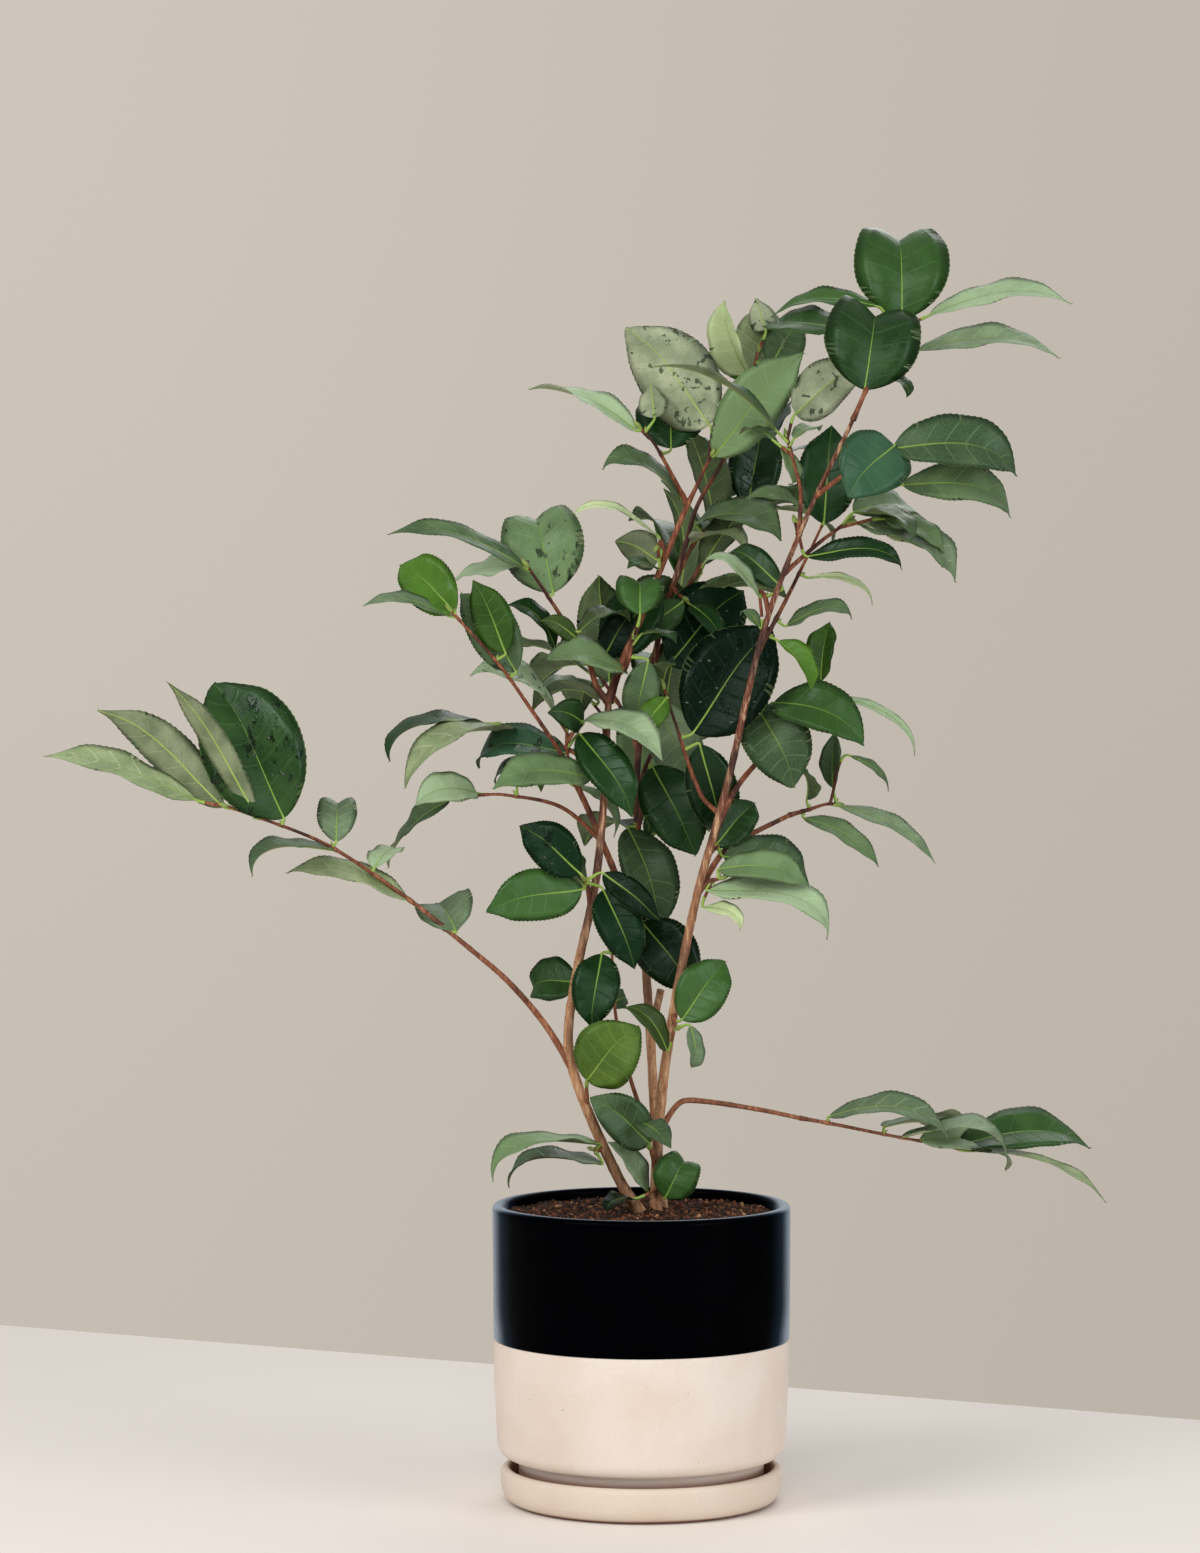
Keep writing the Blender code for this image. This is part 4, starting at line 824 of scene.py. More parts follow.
# %% [markdown]
# ## Planting plan
# Leaves are placed as a florist would: each row says where a blade starts, how far and which
# way it reaches, which way it looks, how it is bent, and how broad it is. Shoots on the far
# side have no rows. Their leaves stand in a spiral, 137.5 degrees apart, as on most plants.
# The last word of a shoot names the colours of its leaves in order: k nearly black, d dark,
# m middle, y young and bright, l lime, g greyish, s silver, b bluish, o olive, p pale, where
# g, s and p are green with a painted sheen. A capital letter is the same colour, wet.

# %% Forms, facings and shoots
# How a blade is held: how far its tip curls down, how late along the blade it does so, how
# steeply its halves fold up from the midrib, how much they cup back, and its twist.
FORMS = {
    "flat": (18, 1.5, 8, 0.0, 0),
    "arch": (48, 1.4, 14, 0.05, 0),
    "droop": (80, 1.6, 18, 0.05, 0),
    "hook": (105, 3.0, 16, 0.05, 0),
    "heart": (125, 2.2, 34, 0.50, 0),
    "cup": (30, 1.2, 30, 0.15, 0),
    "twist": (45, 1.5, 20, 0.05, 70),
    "fold": (55, 1.5, 42, 0.0, 0),
}
# Which way the upper side of a blade looks.
FACINGS = {
    "front": (0, -1, 0.1),
    "tilt": (0, -1, 0.6),
    "slant": (0, -0.7, 1),
    "sky": (0, -0.15, 1),
    "back": (0, 1, 0.15),
    "left": (-0.7, -1, 0.2),
    "right": (0.7, -1, 0.2),
}
BLADE_RISE = 0.62        # how bluntly a blade widens from its stalk
BLADE_FALL = 0.92        # how sharply it narrows to its tip
TWIST_FROM = 0.3         # where along a blade its twist is nil
BLADE_STATIONS = (0.22, 0.6)
CURLED_STATIONS = (0.2, 0.5, 0.8)
CURLED = 60              # a blade that curls down more than this has the extra section
BLADE_WIDTH = 0.5        # breadth over length of a leaf grown by the rule
BLADE_THICKNESS = 0.013  # of its length
STALK_RADIUS = 0.9
SHORT_STALK = 2.5        # a stalk is at least this long
SIDE_TWIG = 13.0         # a stalk longer than this starts as a side twig
SIDE_TWIG_RADIUS = 1.0
# name: (parent, start height on the parent, points, leaves, leaves grown by the rule, colours)
# A leaf: where its blade starts (x, z), how far the blade reaches (x, y, z), which way it
# faces, its form and its breadth over its length.
SHOOTS = {
    "left_low": ("bough_left_low", TIP, (
        (-131, -51, 361), (-172, -64, 391), (-195, -71, 404), (-242, -83, 422)), (
        (-261, 426, -87, -16, 28, "slant", "flat", 0.28),
        (-245, 422, -75, 19, 58, "back", "flat", 0.27),
        (-225, 415, -50, -42, 81, "back", "flat", 0.15),
        (-210, 415, -42, 8, 80, "front", "cup", 0.74),
        (-180, 401, 0, 27, 18, "front", "heart", 0.62),
        (-181, 396, -49, -14, -15, "sky", "hook", 0.50),
        (-158, 385, 14, 34, 10, "sky", "arch", 0.50),
        (-138, 366, -73, -16, 17, "slant", "arch", 0.28),
        (-110, 347, -14, 36, 15, "front", "cup", 0.80),
    ), 0, "pggMsgsps"),
    "right_low": ("bough_right_low", TIP, ((116, 42, 224), (160, 55, 214), (191, 62, 208)), (
        (115, 228, 74, -13, -11, "slant", "droop", 0.26),
        (160, 214, 65, -32, -12, "sky", "hook", 0.42),
        (172, 212, 57, 31, -24, "slant", "hook", 0.42),
        (150, 221, 59, 43, -18, "sky", "arch", 0.50),
        (196, 208, 85, 22, -3, "slant", "arch", 0.42),
        (202, 205, 85, -20, -29, "sky", "arch", 0.17),
    ), 0, "sssgmp"),
    "crown_right": ("stem_right", TIP, ((132, -50, 667), (141, -28, 685), (153, -6, 706)), (
        (131, 667, 8, 35, 42, "front", "heart", 0.88),
        (156, 712, 0, 38, 46, "front", "heart", 0.82),
        (172, 714, 86, -7, 7, "slant", "arch", 0.27),
        (165, 693, 88, 13, -4, "slant", "arch", 0.26),
        (144, 675, 13, -14, -13, "sky", "hook", 0.50),
        (141, 719, -64, 24, -4, "slant", "arch", 0.28),
        (118, 705, -46, 31, 4, "slant", "flat", 0.60),
    ), 0, "mmssmmm"),
    "right_upper": ("stem_right", 606, ((119, -60, 617), (128, -70, 621), (138, -78, 624)), (
        (147, 633, -29, -25, -31, "front", "arch", 0.84),
        (146, 631, 74, 7, -16, "tilt", "droop", 0.46),
        (152, 610, 66, 22, -19, "tilt", "droop", 0.36),
    ), 0, "bgg"),
    "right_fan": ("stem_right", 566, ((106, -30, 578), (117, -16, 586), (125, -6, 592)), (
        (131, 589, 58, -6, -35, "slant", "droop", 0.40),
        (132, 590, 51, 12, -26, "slant", "arch", 0.42),
        (127, 596, 42, 28, 0, "slant", "arch", 0.62),
        (127, 596, 34, -18, -18, "sky", "hook", 0.50),
        (145, 592, 37, 23, -19, "slant", "arch", 0.50),
    ), 0, "spggg"),
    "right_inner": ("stem_right", 514, ((84, -26, 540), (100, -4, 571), (109, 8, 589)), (
        (110, 590, 5, 8, 60, "front", "flat", 0.60),
        (100, 557, 40, 0, -16, "slant", "droop", 0.17),
        (86, 528, 40, -4, 4, "slant", "hook", 0.36),
        (81, 519, 20, -6, -30, "right", "fold", 0.50),
    ), 0, "dpgy"),
    "crown_mid": ("stem_right", 590, ((94, -36, 608), (91, -26, 623), (87, -16, 640)), (
        (92, 655, 42, 12, 30, "back", "cup", 0.66),
        (80, 645, -76, -59, 35, "slant", "twist", 0.18),
        (91, 640, 18, 21, 7, "sky", "arch", 0.50),
        (83, 635, 6, 9, -23, "slant", "hook", 0.40),
        (78, 639, -18, 24, 6, "sky", "arch", 0.50),
    ), 0, "sgggg"),
    "crown_left": ("bough_leader", TIP, ((34, 20, 614), (39, 15, 625), (42, 11, 631)), (
        (44, 631, 55, -17, 60, "front", "flat", 0.42),
        (41, 650, -50, 13, 60, "back", "cup", 0.70),
    ), 0, "gS"),
    "left_bud": ("bough_leader", 594, ((20, 17, 617), (8, 11, 638), (0, 9, 647)), (
        (18, 636, 0, 32, 17, "front", "heart", 0.90),
        (-3, 646, -66, 6, 27, "slant", "twist", 0.30),
        (8, 654, -3, 23, 21, "back", "flat", 0.60),
        (24, 606, -49, -20, 17, "slant", "hook", 0.40),
    ), 0, "dssg"),
    "leader_spur": ("bough_leader", 574, ((12, 16, 580), (10, 13, 577)), (
        (10, 583, -54, -22, 8, "slant", "hook", 0.15),
        (10, 568, -26, 14, 12, "back", "arch", 0.70),
        (10, 563, -19, -18, 1, "slant", "arch", 0.50),
    ), 0, "pgm"),
    "back_upper": ("stem_back", 562, ((37, 70, 585), (63, 86, 599), (75, 94, 604)), (
        (34, 592, 53, -30, -11, "slant", "droop", 0.50),
        (77, 603, 43, 9, -25, "sky", "hook", 0.40),
        (31, 580, 34, -35, -6, "sky", "droop", 0.50),
        (67, 604, 10, 11, 50, "front", "cup", 0.72),
    ), 0, "ggpD"),
    "crown_back": ("stem_back", TIP, (
        (35, 63, 603), (51, 65, 631), (61, 66, 655), (72, 66, 697)), (
        (66, 684, -16, -13, 44, "left", "fold", 0.60),
        (62, 680, -12, 14, 23, "front", "flat", 0.50),
        (80, 689, 19, 19, 28, "front", "flat", 0.70),
        (77, 711, -7, 17, 20, "back", "arch", 0.60),
        (69, 685, 12, 20, 43, "front", "flat", 0.60),
    ), 0, "pygpp"),
    "left_mid": ("bough_left_fork", TIP, ((-49, -4, 535), (-63, -19, 556), (-68, -25, 563)), (
        (-53, 548, -11, 30, 42, "front", "heart", 0.80),
        (-69, 562, -83, -12, 21, "slant", "arch", 0.22),
        (-75, 564, -40, 28, -8, "slant", "flat", 0.50),
        (-52, 514, -30, -8, 28, "slant", "droop", 0.40),
        (-39, 521, -22, -12, 12, "front", "arch", 0.42),
        (-37, 525, 31, 22, 7, "sky", "droop", 0.50),
    ), 0, "Ggsdoo"),
    "left_up": ("bough_left_mid", TIP, (
        (-47, -2, 449), (-70, -26, 484), (-84, -40, 504), (-112, -64, 536)), (
        (-110, 536, -34, 20, 28, "front", "cup", 0.72),
        (-115, 534, -49, -18, 6, "slant", "arch", 0.26),
        (-117, 541, -24, 20, 5, "sky", "arch", 0.50),
        (-81, 512, -19, -16, 43, "front", "flat", 0.50),
        (-75, 501, -32, 10, 48, "front", "cup", 0.58),
    ), 0, "ysgyG"),
    "left_bud_low": ("bough_left_mid", 422, ((-43, 10, 444), (-45, 10, 454), (-45, 10, 464)), (
        (-52, 475, -52, -27, 25, "slant", "droop", 0.42),
        (-35, 470, -21, -23, 7, "front", "arch", 0.60),
        (-35, 471, 47, -34, -24, "slant", "droop", 0.38),
        (-37, 463, 33, -17, -49, "front", "arch", 0.42),
        (-42, 432, 27, -31, -32, "slant", "droop", 0.50),
    ), 0, "Smsdg"),
    "left_shelf": ("stem_left", 432, ((-40, 22, 451), (-71, 50, 464), (-85, 60, 468)), (
        (-96, 469, -59, -17, -24, "sky", "hook", 0.44),
        (-73, 463, -71, -57, -33, "sky", "droop", 0.36),
        (-45, 451, -55, 18, -10, "slant", "hook", 0.50),
        (-45, 438, -45, 18, -7, "slant", "hook", 0.40),
        (-31, 437, -59, -28, -5, "slant", "arch", 0.40),
    ), 0, "dpBdg"),
    "left_thin": ("bough_left_mid", 406, ((-49, 14, 419), (-83, 22, 426), (-97, 26, 426)), (
        (-100, 427, -37, -22, -7, "tilt", "droop", 0.50),
        (-116, 423, -41, 21, -43, "slant", "twist", 0.34),
        (-75, 432, 14, 31, -4, "sky", "fold", 0.60),
    ), 0, "sgy"),
    "fork_left": ("stem_left", 466, ((-24, 15, 474), (-28, 22, 480)), (
        (-26, 483, -34, -32, 6, "sky", "hook", 0.68),
    ), 0, "g"),
    "leader_front": ("bough_leader", 500, ((-9, 2, 504), (-5, -1, 520)), (
        (-1, 535, 0, 27, 15, "front", "heart", 0.80),
        (1, 524, 20, -19, -5, "sky", "arch", 0.50),
        (-9, 500, -48, -18, 8, "slant", "arch", 0.64),
        (4, 507, -7, 12, -35, "front", "droop", 0.55),
    ), 0, "mdgg"),
    "leader_behind": ("bough_leader", 494, ((-19, 18, 504), (-21, 24, 509)), (
        (-21, 511, 34, 14, 40, "front", "flat", 0.66),
        (-23, 509, 18, 3, 28, "front", "flat", 0.60),
    ), 1, "dkd"),
    "back_spur": ("stem_back", 548, ((23, 54, 548), (26, 48, 546)), (
        (26, 544, -31, -7, -28, "front", "flat", 0.50),
        (30, 542, 19, -14, -22, "slant", "arch", 0.50),
    ), 0, "md"),
    "back_big": ("stem_back", 490, ((9, 48, 498), (13, 42, 502)), (
        (17, 505, 47, 9, 46, "front", "flat", 0.68),
        (9, 483, 22, 14, -55, "front", "flat", 0.55),
    ), 0, "Ks"),
    "inner_right": ("stem_right", 405, ((35, -10, 428), (20, 0, 471), (14, 4, 490)), (
        (31, 464, 49, 11, 63, "front", "flat", 0.70),
        (9, 490, -12, -16, -19, "front", "droop", 0.85),
        (13, 490, 6, -21, 16, "slant", "fold", 0.70),
        (15, 485, -16, -8, -23, "front", "arch", 0.55),
        (35, 457, 14, 21, -57, "front", "flat", 0.50),
    ), 0, "KmByd"),
    "right_mid": ("bough_right_mid", TIP, ((97, 44, 473), (105, 52, 482), (111, 58, 489)), (
        (111, 495, 6, 10, 37, "left", "cup", 0.62),
        (116, 485, 54, -6, -36, "slant", "droop", 0.12),
    ), 0, "ys"),
    "right_mid_spur": ("bough_right_mid", 448, ((74, 18, 462), (73, 16, 474)), (
        (80, 482, 54, -22, -26, "tilt", "droop", 0.50),
        (70, 480, 23, -15, -49, "front", "arch", 0.72),
        (65, 453, 20, 17, -5, "slant", "arch", 0.70),
    ), 0, "mgg"),
    "right_out": ("bough_right_out", TIP, ((103, 54, 416), (114, 63, 419), (121, 69, 419)), (
        (119, 429, 2, 7, 35, "left", "cup", 0.46),
        (100, 411, 46, -10, -30, "slant", "arch", 0.30),
        (122, 418, 60, -6, -36, "slant", "arch", 0.20),
        (102, 422, -4, -15, 18, "slant", "fold", 0.60),
        (129, 449, 26, 9, -22, "slant", "arch", 0.24),
    ), 0, "ggsbg"),
    "right_fork_spur": ("stem_right", 391, ((43, -14, 394), (46, -6, 396)), (
        (49, 390, 54, 26, -21, "tilt", "arch", 0.55),
        (44, 396, 26, 10, 25, "front", "cup", 0.70),
    ), 0, "gm"),
    "right_hooks": ("stem_right", 370, ((40, -20, 375), (46, -22, 377)), (
        (46, 383, 54, -9, -12, "tilt", "droop", 0.36),
        (39, 370, 73, -7, -29, "slant", "hook", 0.30),
        (37, 360, 23, -15, -13, "slant", "hook", 0.38),
    ), 0, "gsp"),
    "right_high_spur": ("stem_right", 541, ((72, -38, 547), (68, -34, 550)), (
        (70, 545, -35, -7, 21, "slant", "hook", 0.30),
        (83, 551, -31, 23, 23, "front", "arch", 0.38),
        (70, 527, -11, 10, 9, "slant", "hook", 0.40),
    ), 0, "smg"),
    "right_crest_spur": ("stem_right", 578, ((92, -38, 584), (91, -33, 589)), (
        (98, 595, -38, -14, 7, "slant", "droop", 0.36),
        (98, 569, 56, -8, -9, "tilt", "hook", 0.24),
    ), 0, "gd"),
    "left_glossy": ("stem_left", 371, ((-33, -8, 374), (-34, -14, 376)), (
        (-36, 370, -57, -17, -14, "front", "flat", 0.52),
        (-37, 380, -37, 12, 28, "front", "flat", 0.60),
        (-34, 372, -22, 29, 14, "back", "flat", 0.60),
        (-23, 370, 19, -14, -47, "front", "arch", 0.52),
        (-23, 380, 33, -6, -30, "front", "arch", 0.36),
    ), 0, "mKykk"),
    "back_low_leaf": ("stem_back", 318, ((2, 32, 326), (2, 26, 336)), (
        (1, 348, 29, -11, -41, "front", "arch", 0.72),
    ), 0, "d"),
    "back_high_leaves": ("stem_back", 400, ((-1, 42, 408), (2, 37, 428), (5, 33, 441)), (
        (-8, 405, 17, -5, -64, "front", "droop", 0.50),
        (8, 416, -4, 3, -16, "front", "arch", 0.50),
        (7, 443, 25, -11, -55, "front", "arch", 0.62),
    ), 0, "gmd"),
    "inner_twig": ("stem_back", 224, ((-1, 20, 237), (-15, 6, 290), (-18, 0, 336)), (
        (-24, 331, -7, -12, -44, "front", "arch", 0.62),
        (-19, 300, 11, 10, 3, "front", "arch", 0.70),
        (-18, 336, 17, 31, 32, "front", "flat", 0.60),
    ), 0, "dgk"),
    "left_low_leaf": ("stem_left", 243, ((-33, -14, 248), (-33, -18, 252)), (
        (-33, 256, 31, -10, 34, "front", "arch", 0.85),
    ), 0, "l"),
    "left_knot_leaf": ("stem_left", 308, ((-41, 2, 311), (-40, 8, 312)), (
        (-38, 313, -28, 11, -7, "tilt", "hook", 0.86),
    ), 0, "m"),
    "foot_left": ("stem_left", 208, ((-26, -9, 213), (-29, -13, 214)), (
        (-25, 217, -65, -22, -21, "sky", "hook", 0.35),
        (-24, 205, -57, 10, -16, "sky", "hook", 0.42),
    ), 0, "gg"),
    "foot_right": ("stem_right", 190, ((13, 0, 191), (16, -4, 190)), (
        (14, 184, 12, 12, 20, "front", "heart", 0.90),
        (4, 187, -25, -3, 31, "slant", "arch", 0.42),
        (-5, 184, -16, -10, -7, "sky", "hook", 0.80),
    ), 0, "msd"),
    "foot_mid": ("stem_right", 208, ((6, -4, 212), (5, -8, 214)), (
        (5, 217, -36, -10, 29, "front", "cup", 0.66),
        (-1, 230, 17, -23, -13, "slant", "arch", 0.50),
        (-1, 234, -26, -18, 1, "slant", "twist", 0.50),
    ), 0, "ggg"),
    "right_low_spur": ("stem_right", 287, ((20, -16, 289), (21, -21, 288)), (
        (24, 292, 28, 9, 34, "front", "cup", 0.78),
        (29, 289, 0, -2, -26, "right", "hook", 0.42),
        (15, 274, -26, -7, 28, "right", "droop", 0.36),
    ), 0, "mso"),
    # Shoots on the far side of the crown.
    "rear_low": ("stem_back", 380, ((-2, 72, 396), (2, 98, 414), (8, 128, 424)),
                 (), 7, "mdgmdmd"),
    "rear_mid": ("stem_back", 432, ((8, 78, 452), (22, 104, 470), (40, 130, 480)),
                 (), 8, "dmdgmdb"),
    "rear_left": ("stem_back", 460, ((-12, 76, 478), (-24, 98, 496), (-34, 122, 508)),
                  (), 7, "mmdgdmd"),
    "rear_high": ("stem_back", 505, ((22, 82, 534), (31, 106, 552), (38, 130, 562)),
                  (), 8, "gmddmgdm"),
    "rear_top": ("stem_back", 538, ((46, 78, 580), (60, 93, 608), (70, 108, 630)),
                 (), 7, "mmgdmbd"),
}

# %% [markdown]
# ## Room for every leaf
# No two leaves may cross, and none may cut a limb. So each is tried as a simple solid: first
# as its row or the spiral rule says, then swung, moved in depth, rolled and turned in small
# steps, the gentlest changes first, until it touches nothing that is already there.

# %% Places for the leaves
TWIG_FOOT, TWIG_TIP = 1.5, 0.8
SEED = 11
SPINE_STEPS = 24         # pieces in the curve of a midrib
CLEARANCE = 0.5          # a leaf keeps this far from other masses and limbs
STALK_CLEAR = 3.0        # no stalk starts nearer than this to the foot of its shoot
ROOT_SPACING = 2.4       # between the stalks of one shoot
STALK_STEP = 1.5         # spacing of the places where a stalk may start
# The steps in which a leaf that would touch swings nearer or farther (of its reach), moves in
# depth (mm), rolls and turns (degrees).
SWING_STEP, SHIFT_STEP, ROLL_STEP, TURN_STEP = 0.14, 5.0, 18.0, 9.0
FEW_STEPS = (0, 1, -1, 2, -2)
MORE_STEPS = FEW_STEPS + (3, -3, 4, -4, 5, -5)
# Leaves grown by the rule stand round their shoot in a spiral.
SPIRAL, SPIRAL_SPREAD = 137.5, 20
OPENING, OPENING_SPREAD = 62.0, 8      # degrees between the shoot and a blade
CLOSING = 0.5            # towards the tip the blades open less by this share
RULE_LENGTH = (56.0, 80.0)
RULE_STALK = 7.0
RULE_LEAN = 0.4          # how far their upper sides lean along the shoot
RULE_FORMS = ("flat", "arch", "arch", "droop", "cup")
RULE_START = 0.25        # the first such leaf stands this far along its shoot


def spine_of(form):
    """A unit blade's midrib: places along and above its chord, its slopes and chord."""
    curl, lateness = FORMS[form][:2]
    along, above = [0.0], [0.0]
    slopes = [-math.radians(curl) * (index / SPINE_STEPS) ** lateness
              for index in range(SPINE_STEPS + 1)]
    for low, high in zip(slopes, slopes[1:]):
        along.append(along[-1] + math.cos((low + high) / 2) / SPINE_STEPS)
        above.append(above[-1] + math.sin((low + high) / 2) / SPINE_STEPS)
    tilt = math.atan2(above[-1], along[-1])
    chord = math.hypot(along[-1], above[-1])
    level = [(x * math.cos(tilt) + z * math.sin(tilt), z * math.cos(tilt) - x * math.sin(tilt))
             for x, z in zip(along, above)]
    return level, [slope - tilt for slope in slopes], chord


SPINES = {form: spine_of(form) for form in FORMS}


def half_width(u):
    """Outline of a blade, 0 at its stalk and tip and 1 at its widest."""
    widest = BLADE_RISE / (BLADE_RISE + BLADE_FALL)
    u = min(max(u, 1e-6), 1 - 1e-6)
    return (u / widest) ** BLADE_RISE * ((1 - u) / (1 - widest)) ** BLADE_FALL


def leaf_faces(rings):
    """Faces of a leaf whose rings go left edge, underside, right edge, top side.

    Both sides of the blade are split along the same diagonals, so they never cross.
    """
    faces = [(3, 2, 1, 0)]
    for ring in range(rings - 1):
        left, below, right, above = range(4 * ring, 4 * ring + 4)
        next_left, next_below, next_right, next_above = range(4 * ring + 4, 4 * ring + 8)
        faces += [(left, below, next_below), (left, next_below, next_left),
                  (below, right, next_below), (right, next_right, next_below),
                  (right, above, next_above), (right, next_above, next_right),
                  (above, left, next_above), (left, next_left, next_above)]
    tip = 4 * rings
    return faces + [(tip - 4 + side, tip - 4 + (side + 1) % 4, tip) for side in range(4)]


class Leaf:
    """One leaf: a stalk from its shoot and a curved blade."""

    def __init__(self, root, foot, reach, facing, form, breadth):
        self.root = root
        self.foot = foot
        self.reach = reach
        self.facing = facing
        self.form = form
        self.breadth = breadth
        self.length = reach.length / SPINES[form][2]

    def section(self, u):
        """Midrib point, sideways and upward directions and half-width at u."""
        level, slopes = SPINES[self.form][:2]
        place = u * (len(level) - 1)
        index = min(int(place), len(level) - 2)
        part = place - index
        x = level[index][0] * (1 - part) + level[index + 1][0] * part
        z = level[index][1] * (1 - part) + level[index + 1][1] * part
        slope = slopes[index] * (1 - part) + slopes[index + 1] * part
        ahead = self.reach.normalized()
        up = (self.facing - ahead * self.facing.dot(ahead)).normalized()
        side = up.cross(ahead)
        middle = self.foot + (ahead * x + up * z) * self.length
        tangent = ahead * math.cos(slope) + up * math.sin(slope)
        normal = up * math.cos(slope) - ahead * math.sin(slope)
        twist = FORMS[self.form][4] * (u - TWIST_FROM)
        if twist:
            spin = Matrix.Rotation(math.radians(twist), 3, tangent)
            side, normal = spin @ side, spin @ normal
        return middle, side, normal, half_width(u) * self.breadth * self.length / 2

    def blade_point(self, u, v, lift=0.0, swell=0.0):
        """A point on the blade: u from stalk to tip, v from edge to edge."""
        middle, side, normal, half = self.section(u)
        fold, cup = math.radians(FORMS[self.form][2]), FORMS[self.form][3]
        half += swell
        return (middle + side * v * half * math.cos(fold)
                + normal * (half * (abs(v) * math.sin(fold) - cup * v * v) + lift))

    def stalk(self, swell=0.0):
        """Four-cornered rings at both ends of the stalk, turned without a twist."""
        span = self.foot - self.root
        ahead = self.reach.normalized()
        heading = span.normalized() if span.length > SHORT_STALK else ahead
        start = self.foot - heading * max(span.length, SHORT_STALK)
        middle = (heading + ahead).normalized()
        foot_radius = SIDE_TWIG_RADIUS if span.length > SIDE_TWIG else STALK_RADIUS
        verts = []
        for centre, along, radius in ((start, heading, foot_radius),
                                      (self.foot, middle, STALK_RADIUS)):
            side = ahead.rotation_difference(along) @ self.section(0.0)[1] * (radius + swell)
            normal = along.cross(side)
            verts += [centre - side, centre - normal, centre + side, centre + normal]
        return verts

    def blade(self, swell=0.0):
        """Four-cornered rings across the blade, then its tip."""
        thickness = BLADE_THICKNESS * self.length / 2 + swell
        verts = []
        for u in CURLED_STATIONS if FORMS[self.form][0] > CURLED else BLADE_STATIONS:
            verts += [self.blade_point(u, -1, swell=swell), self.blade_point(u, 0, -thickness),
                      self.blade_point(u, 1, swell=swell), self.blade_point(u, 0, thickness)]
        return verts + [self.section(1.0)[0] + self.reach.normalized() * swell]

    def solid(self, swell=0.0, blade_only=False):
        """Vertices and faces of the leaf, or of its blade alone, swollen all round."""
        verts = self.blade(swell)
        if not blade_only:
            verts = self.stalk(swell) + verts
        return verts, leaf_faces(len(verts) // 4)


def nearest_on_shoot(shoot, x, z, taken):
    """Free point of a shoot's middle nearest to a place seen from the front."""
    usable = [point for point, distance in zip(shoot.fine, shoot.fine_total)
              if distance >= min(STALK_CLEAR, shoot.fine_total[-1] * 0.5)]
    free = [point for point in usable
            if all((point - other).length >= ROOT_SPACING for other in taken)]
    return min(free or usable, key=lambda point: (point.x - x) ** 2 + (point.z - z) ** 2)


def given_leaf(shoot, row, taken):
    """A leaf from its row in the planting plan, with its stalk clear of those taken."""
    x, z, reach_x, reach_y, reach_z, facing, form, breadth = row
    root = nearest_on_shoot(shoot, x, z, taken)
    taken.append(root)
    foot = Vector((x, root.y, z))
    return Leaf(root, foot, Vector((reach_x, reach_y, reach_z)), Vector(FACINGS[facing]), form,
                breadth)


def rule_leaf(shoot, index, count, dice):
    """A leaf that the spiral rule puts on a shoot."""
    part = RULE_START + (1 - RULE_START) * (index + 0.5) / count
    place = min(int(part * len(shoot.fine)), len(shoot.fine) - 2)
    root = shoot.fine[place]
    along = direction_at(shoot.fine, place)
    sideways = along.cross(Vector((0, 0, 1))).normalized()
    spin = math.radians(SPIRAL * index + dice.uniform(-SPIRAL_SPREAD, SPIRAL_SPREAD))
    sideways = Matrix.Rotation(spin, 3, along) @ sideways
    opening = math.radians(OPENING * (1 - CLOSING * index / count)
                           + dice.uniform(-OPENING_SPREAD, OPENING_SPREAD))
    heading = along * math.cos(opening) + sideways * math.sin(opening)
    reach = heading * dice.uniform(*RULE_LENGTH)
    facing = Vector((0, 0, 1)) + along * RULE_LEAN
    return Leaf(root, root + heading * RULE_STALK, reach, facing, dice.choice(RULE_FORMS),
                BLADE_WIDTH)


def varied(leaf, swing, shift, roll, turn):
    """The leaf swung and moved in depth, rolled about its midrib and turned."""
    flat = Vector((leaf.reach.x, 0, leaf.reach.z))
    reach = leaf.reach + Vector((0, swing * SWING_STEP * flat.length, 0))
    reach = Matrix.Rotation(math.radians(turn * TURN_STEP), 3, "Y") @ reach
    ahead = reach.normalized()
    facing = leaf.facing - ahead * leaf.facing.dot(ahead)
    facing = Matrix.Rotation(math.radians(roll * ROLL_STEP), 3, ahead) @ facing
    foot = leaf.foot + Vector((0, shift * SHIFT_STEP, 0))
    return Leaf(leaf.root, foot, reach, facing, leaf.form, leaf.breadth)


VARIATIONS = sorted(((swing, shift, roll, turn) for turn in FEW_STEPS for roll in FEW_STEPS
                     for shift in FEW_STEPS for swing in MORE_STEPS),
                    key=lambda v: abs(v[0]) + 1.5 * abs(v[1]) + 2 * abs(v[2]) + 3 * abs(v[3]))


class Solid:
    """A test shape: a tree of its faces and the box round it."""

    def __init__(self, owner, verts, faces):
        self.owner = owner
        self.tree = BVHTree.FromPolygons(verts, faces)
        self.low = [min(vert[axis] for vert in verts) for axis in range(3)]
        self.high = [max(vert[axis] for vert in verts) for axis in range(3)]

    def touches(self, other):
        """Whether the faces of two shapes cross."""
        for axis in range(3):
            if self.low[axis] > other.high[axis] or self.high[axis] < other.low[axis]:
                return False
        return bool(self.tree.overlap(other.tree))


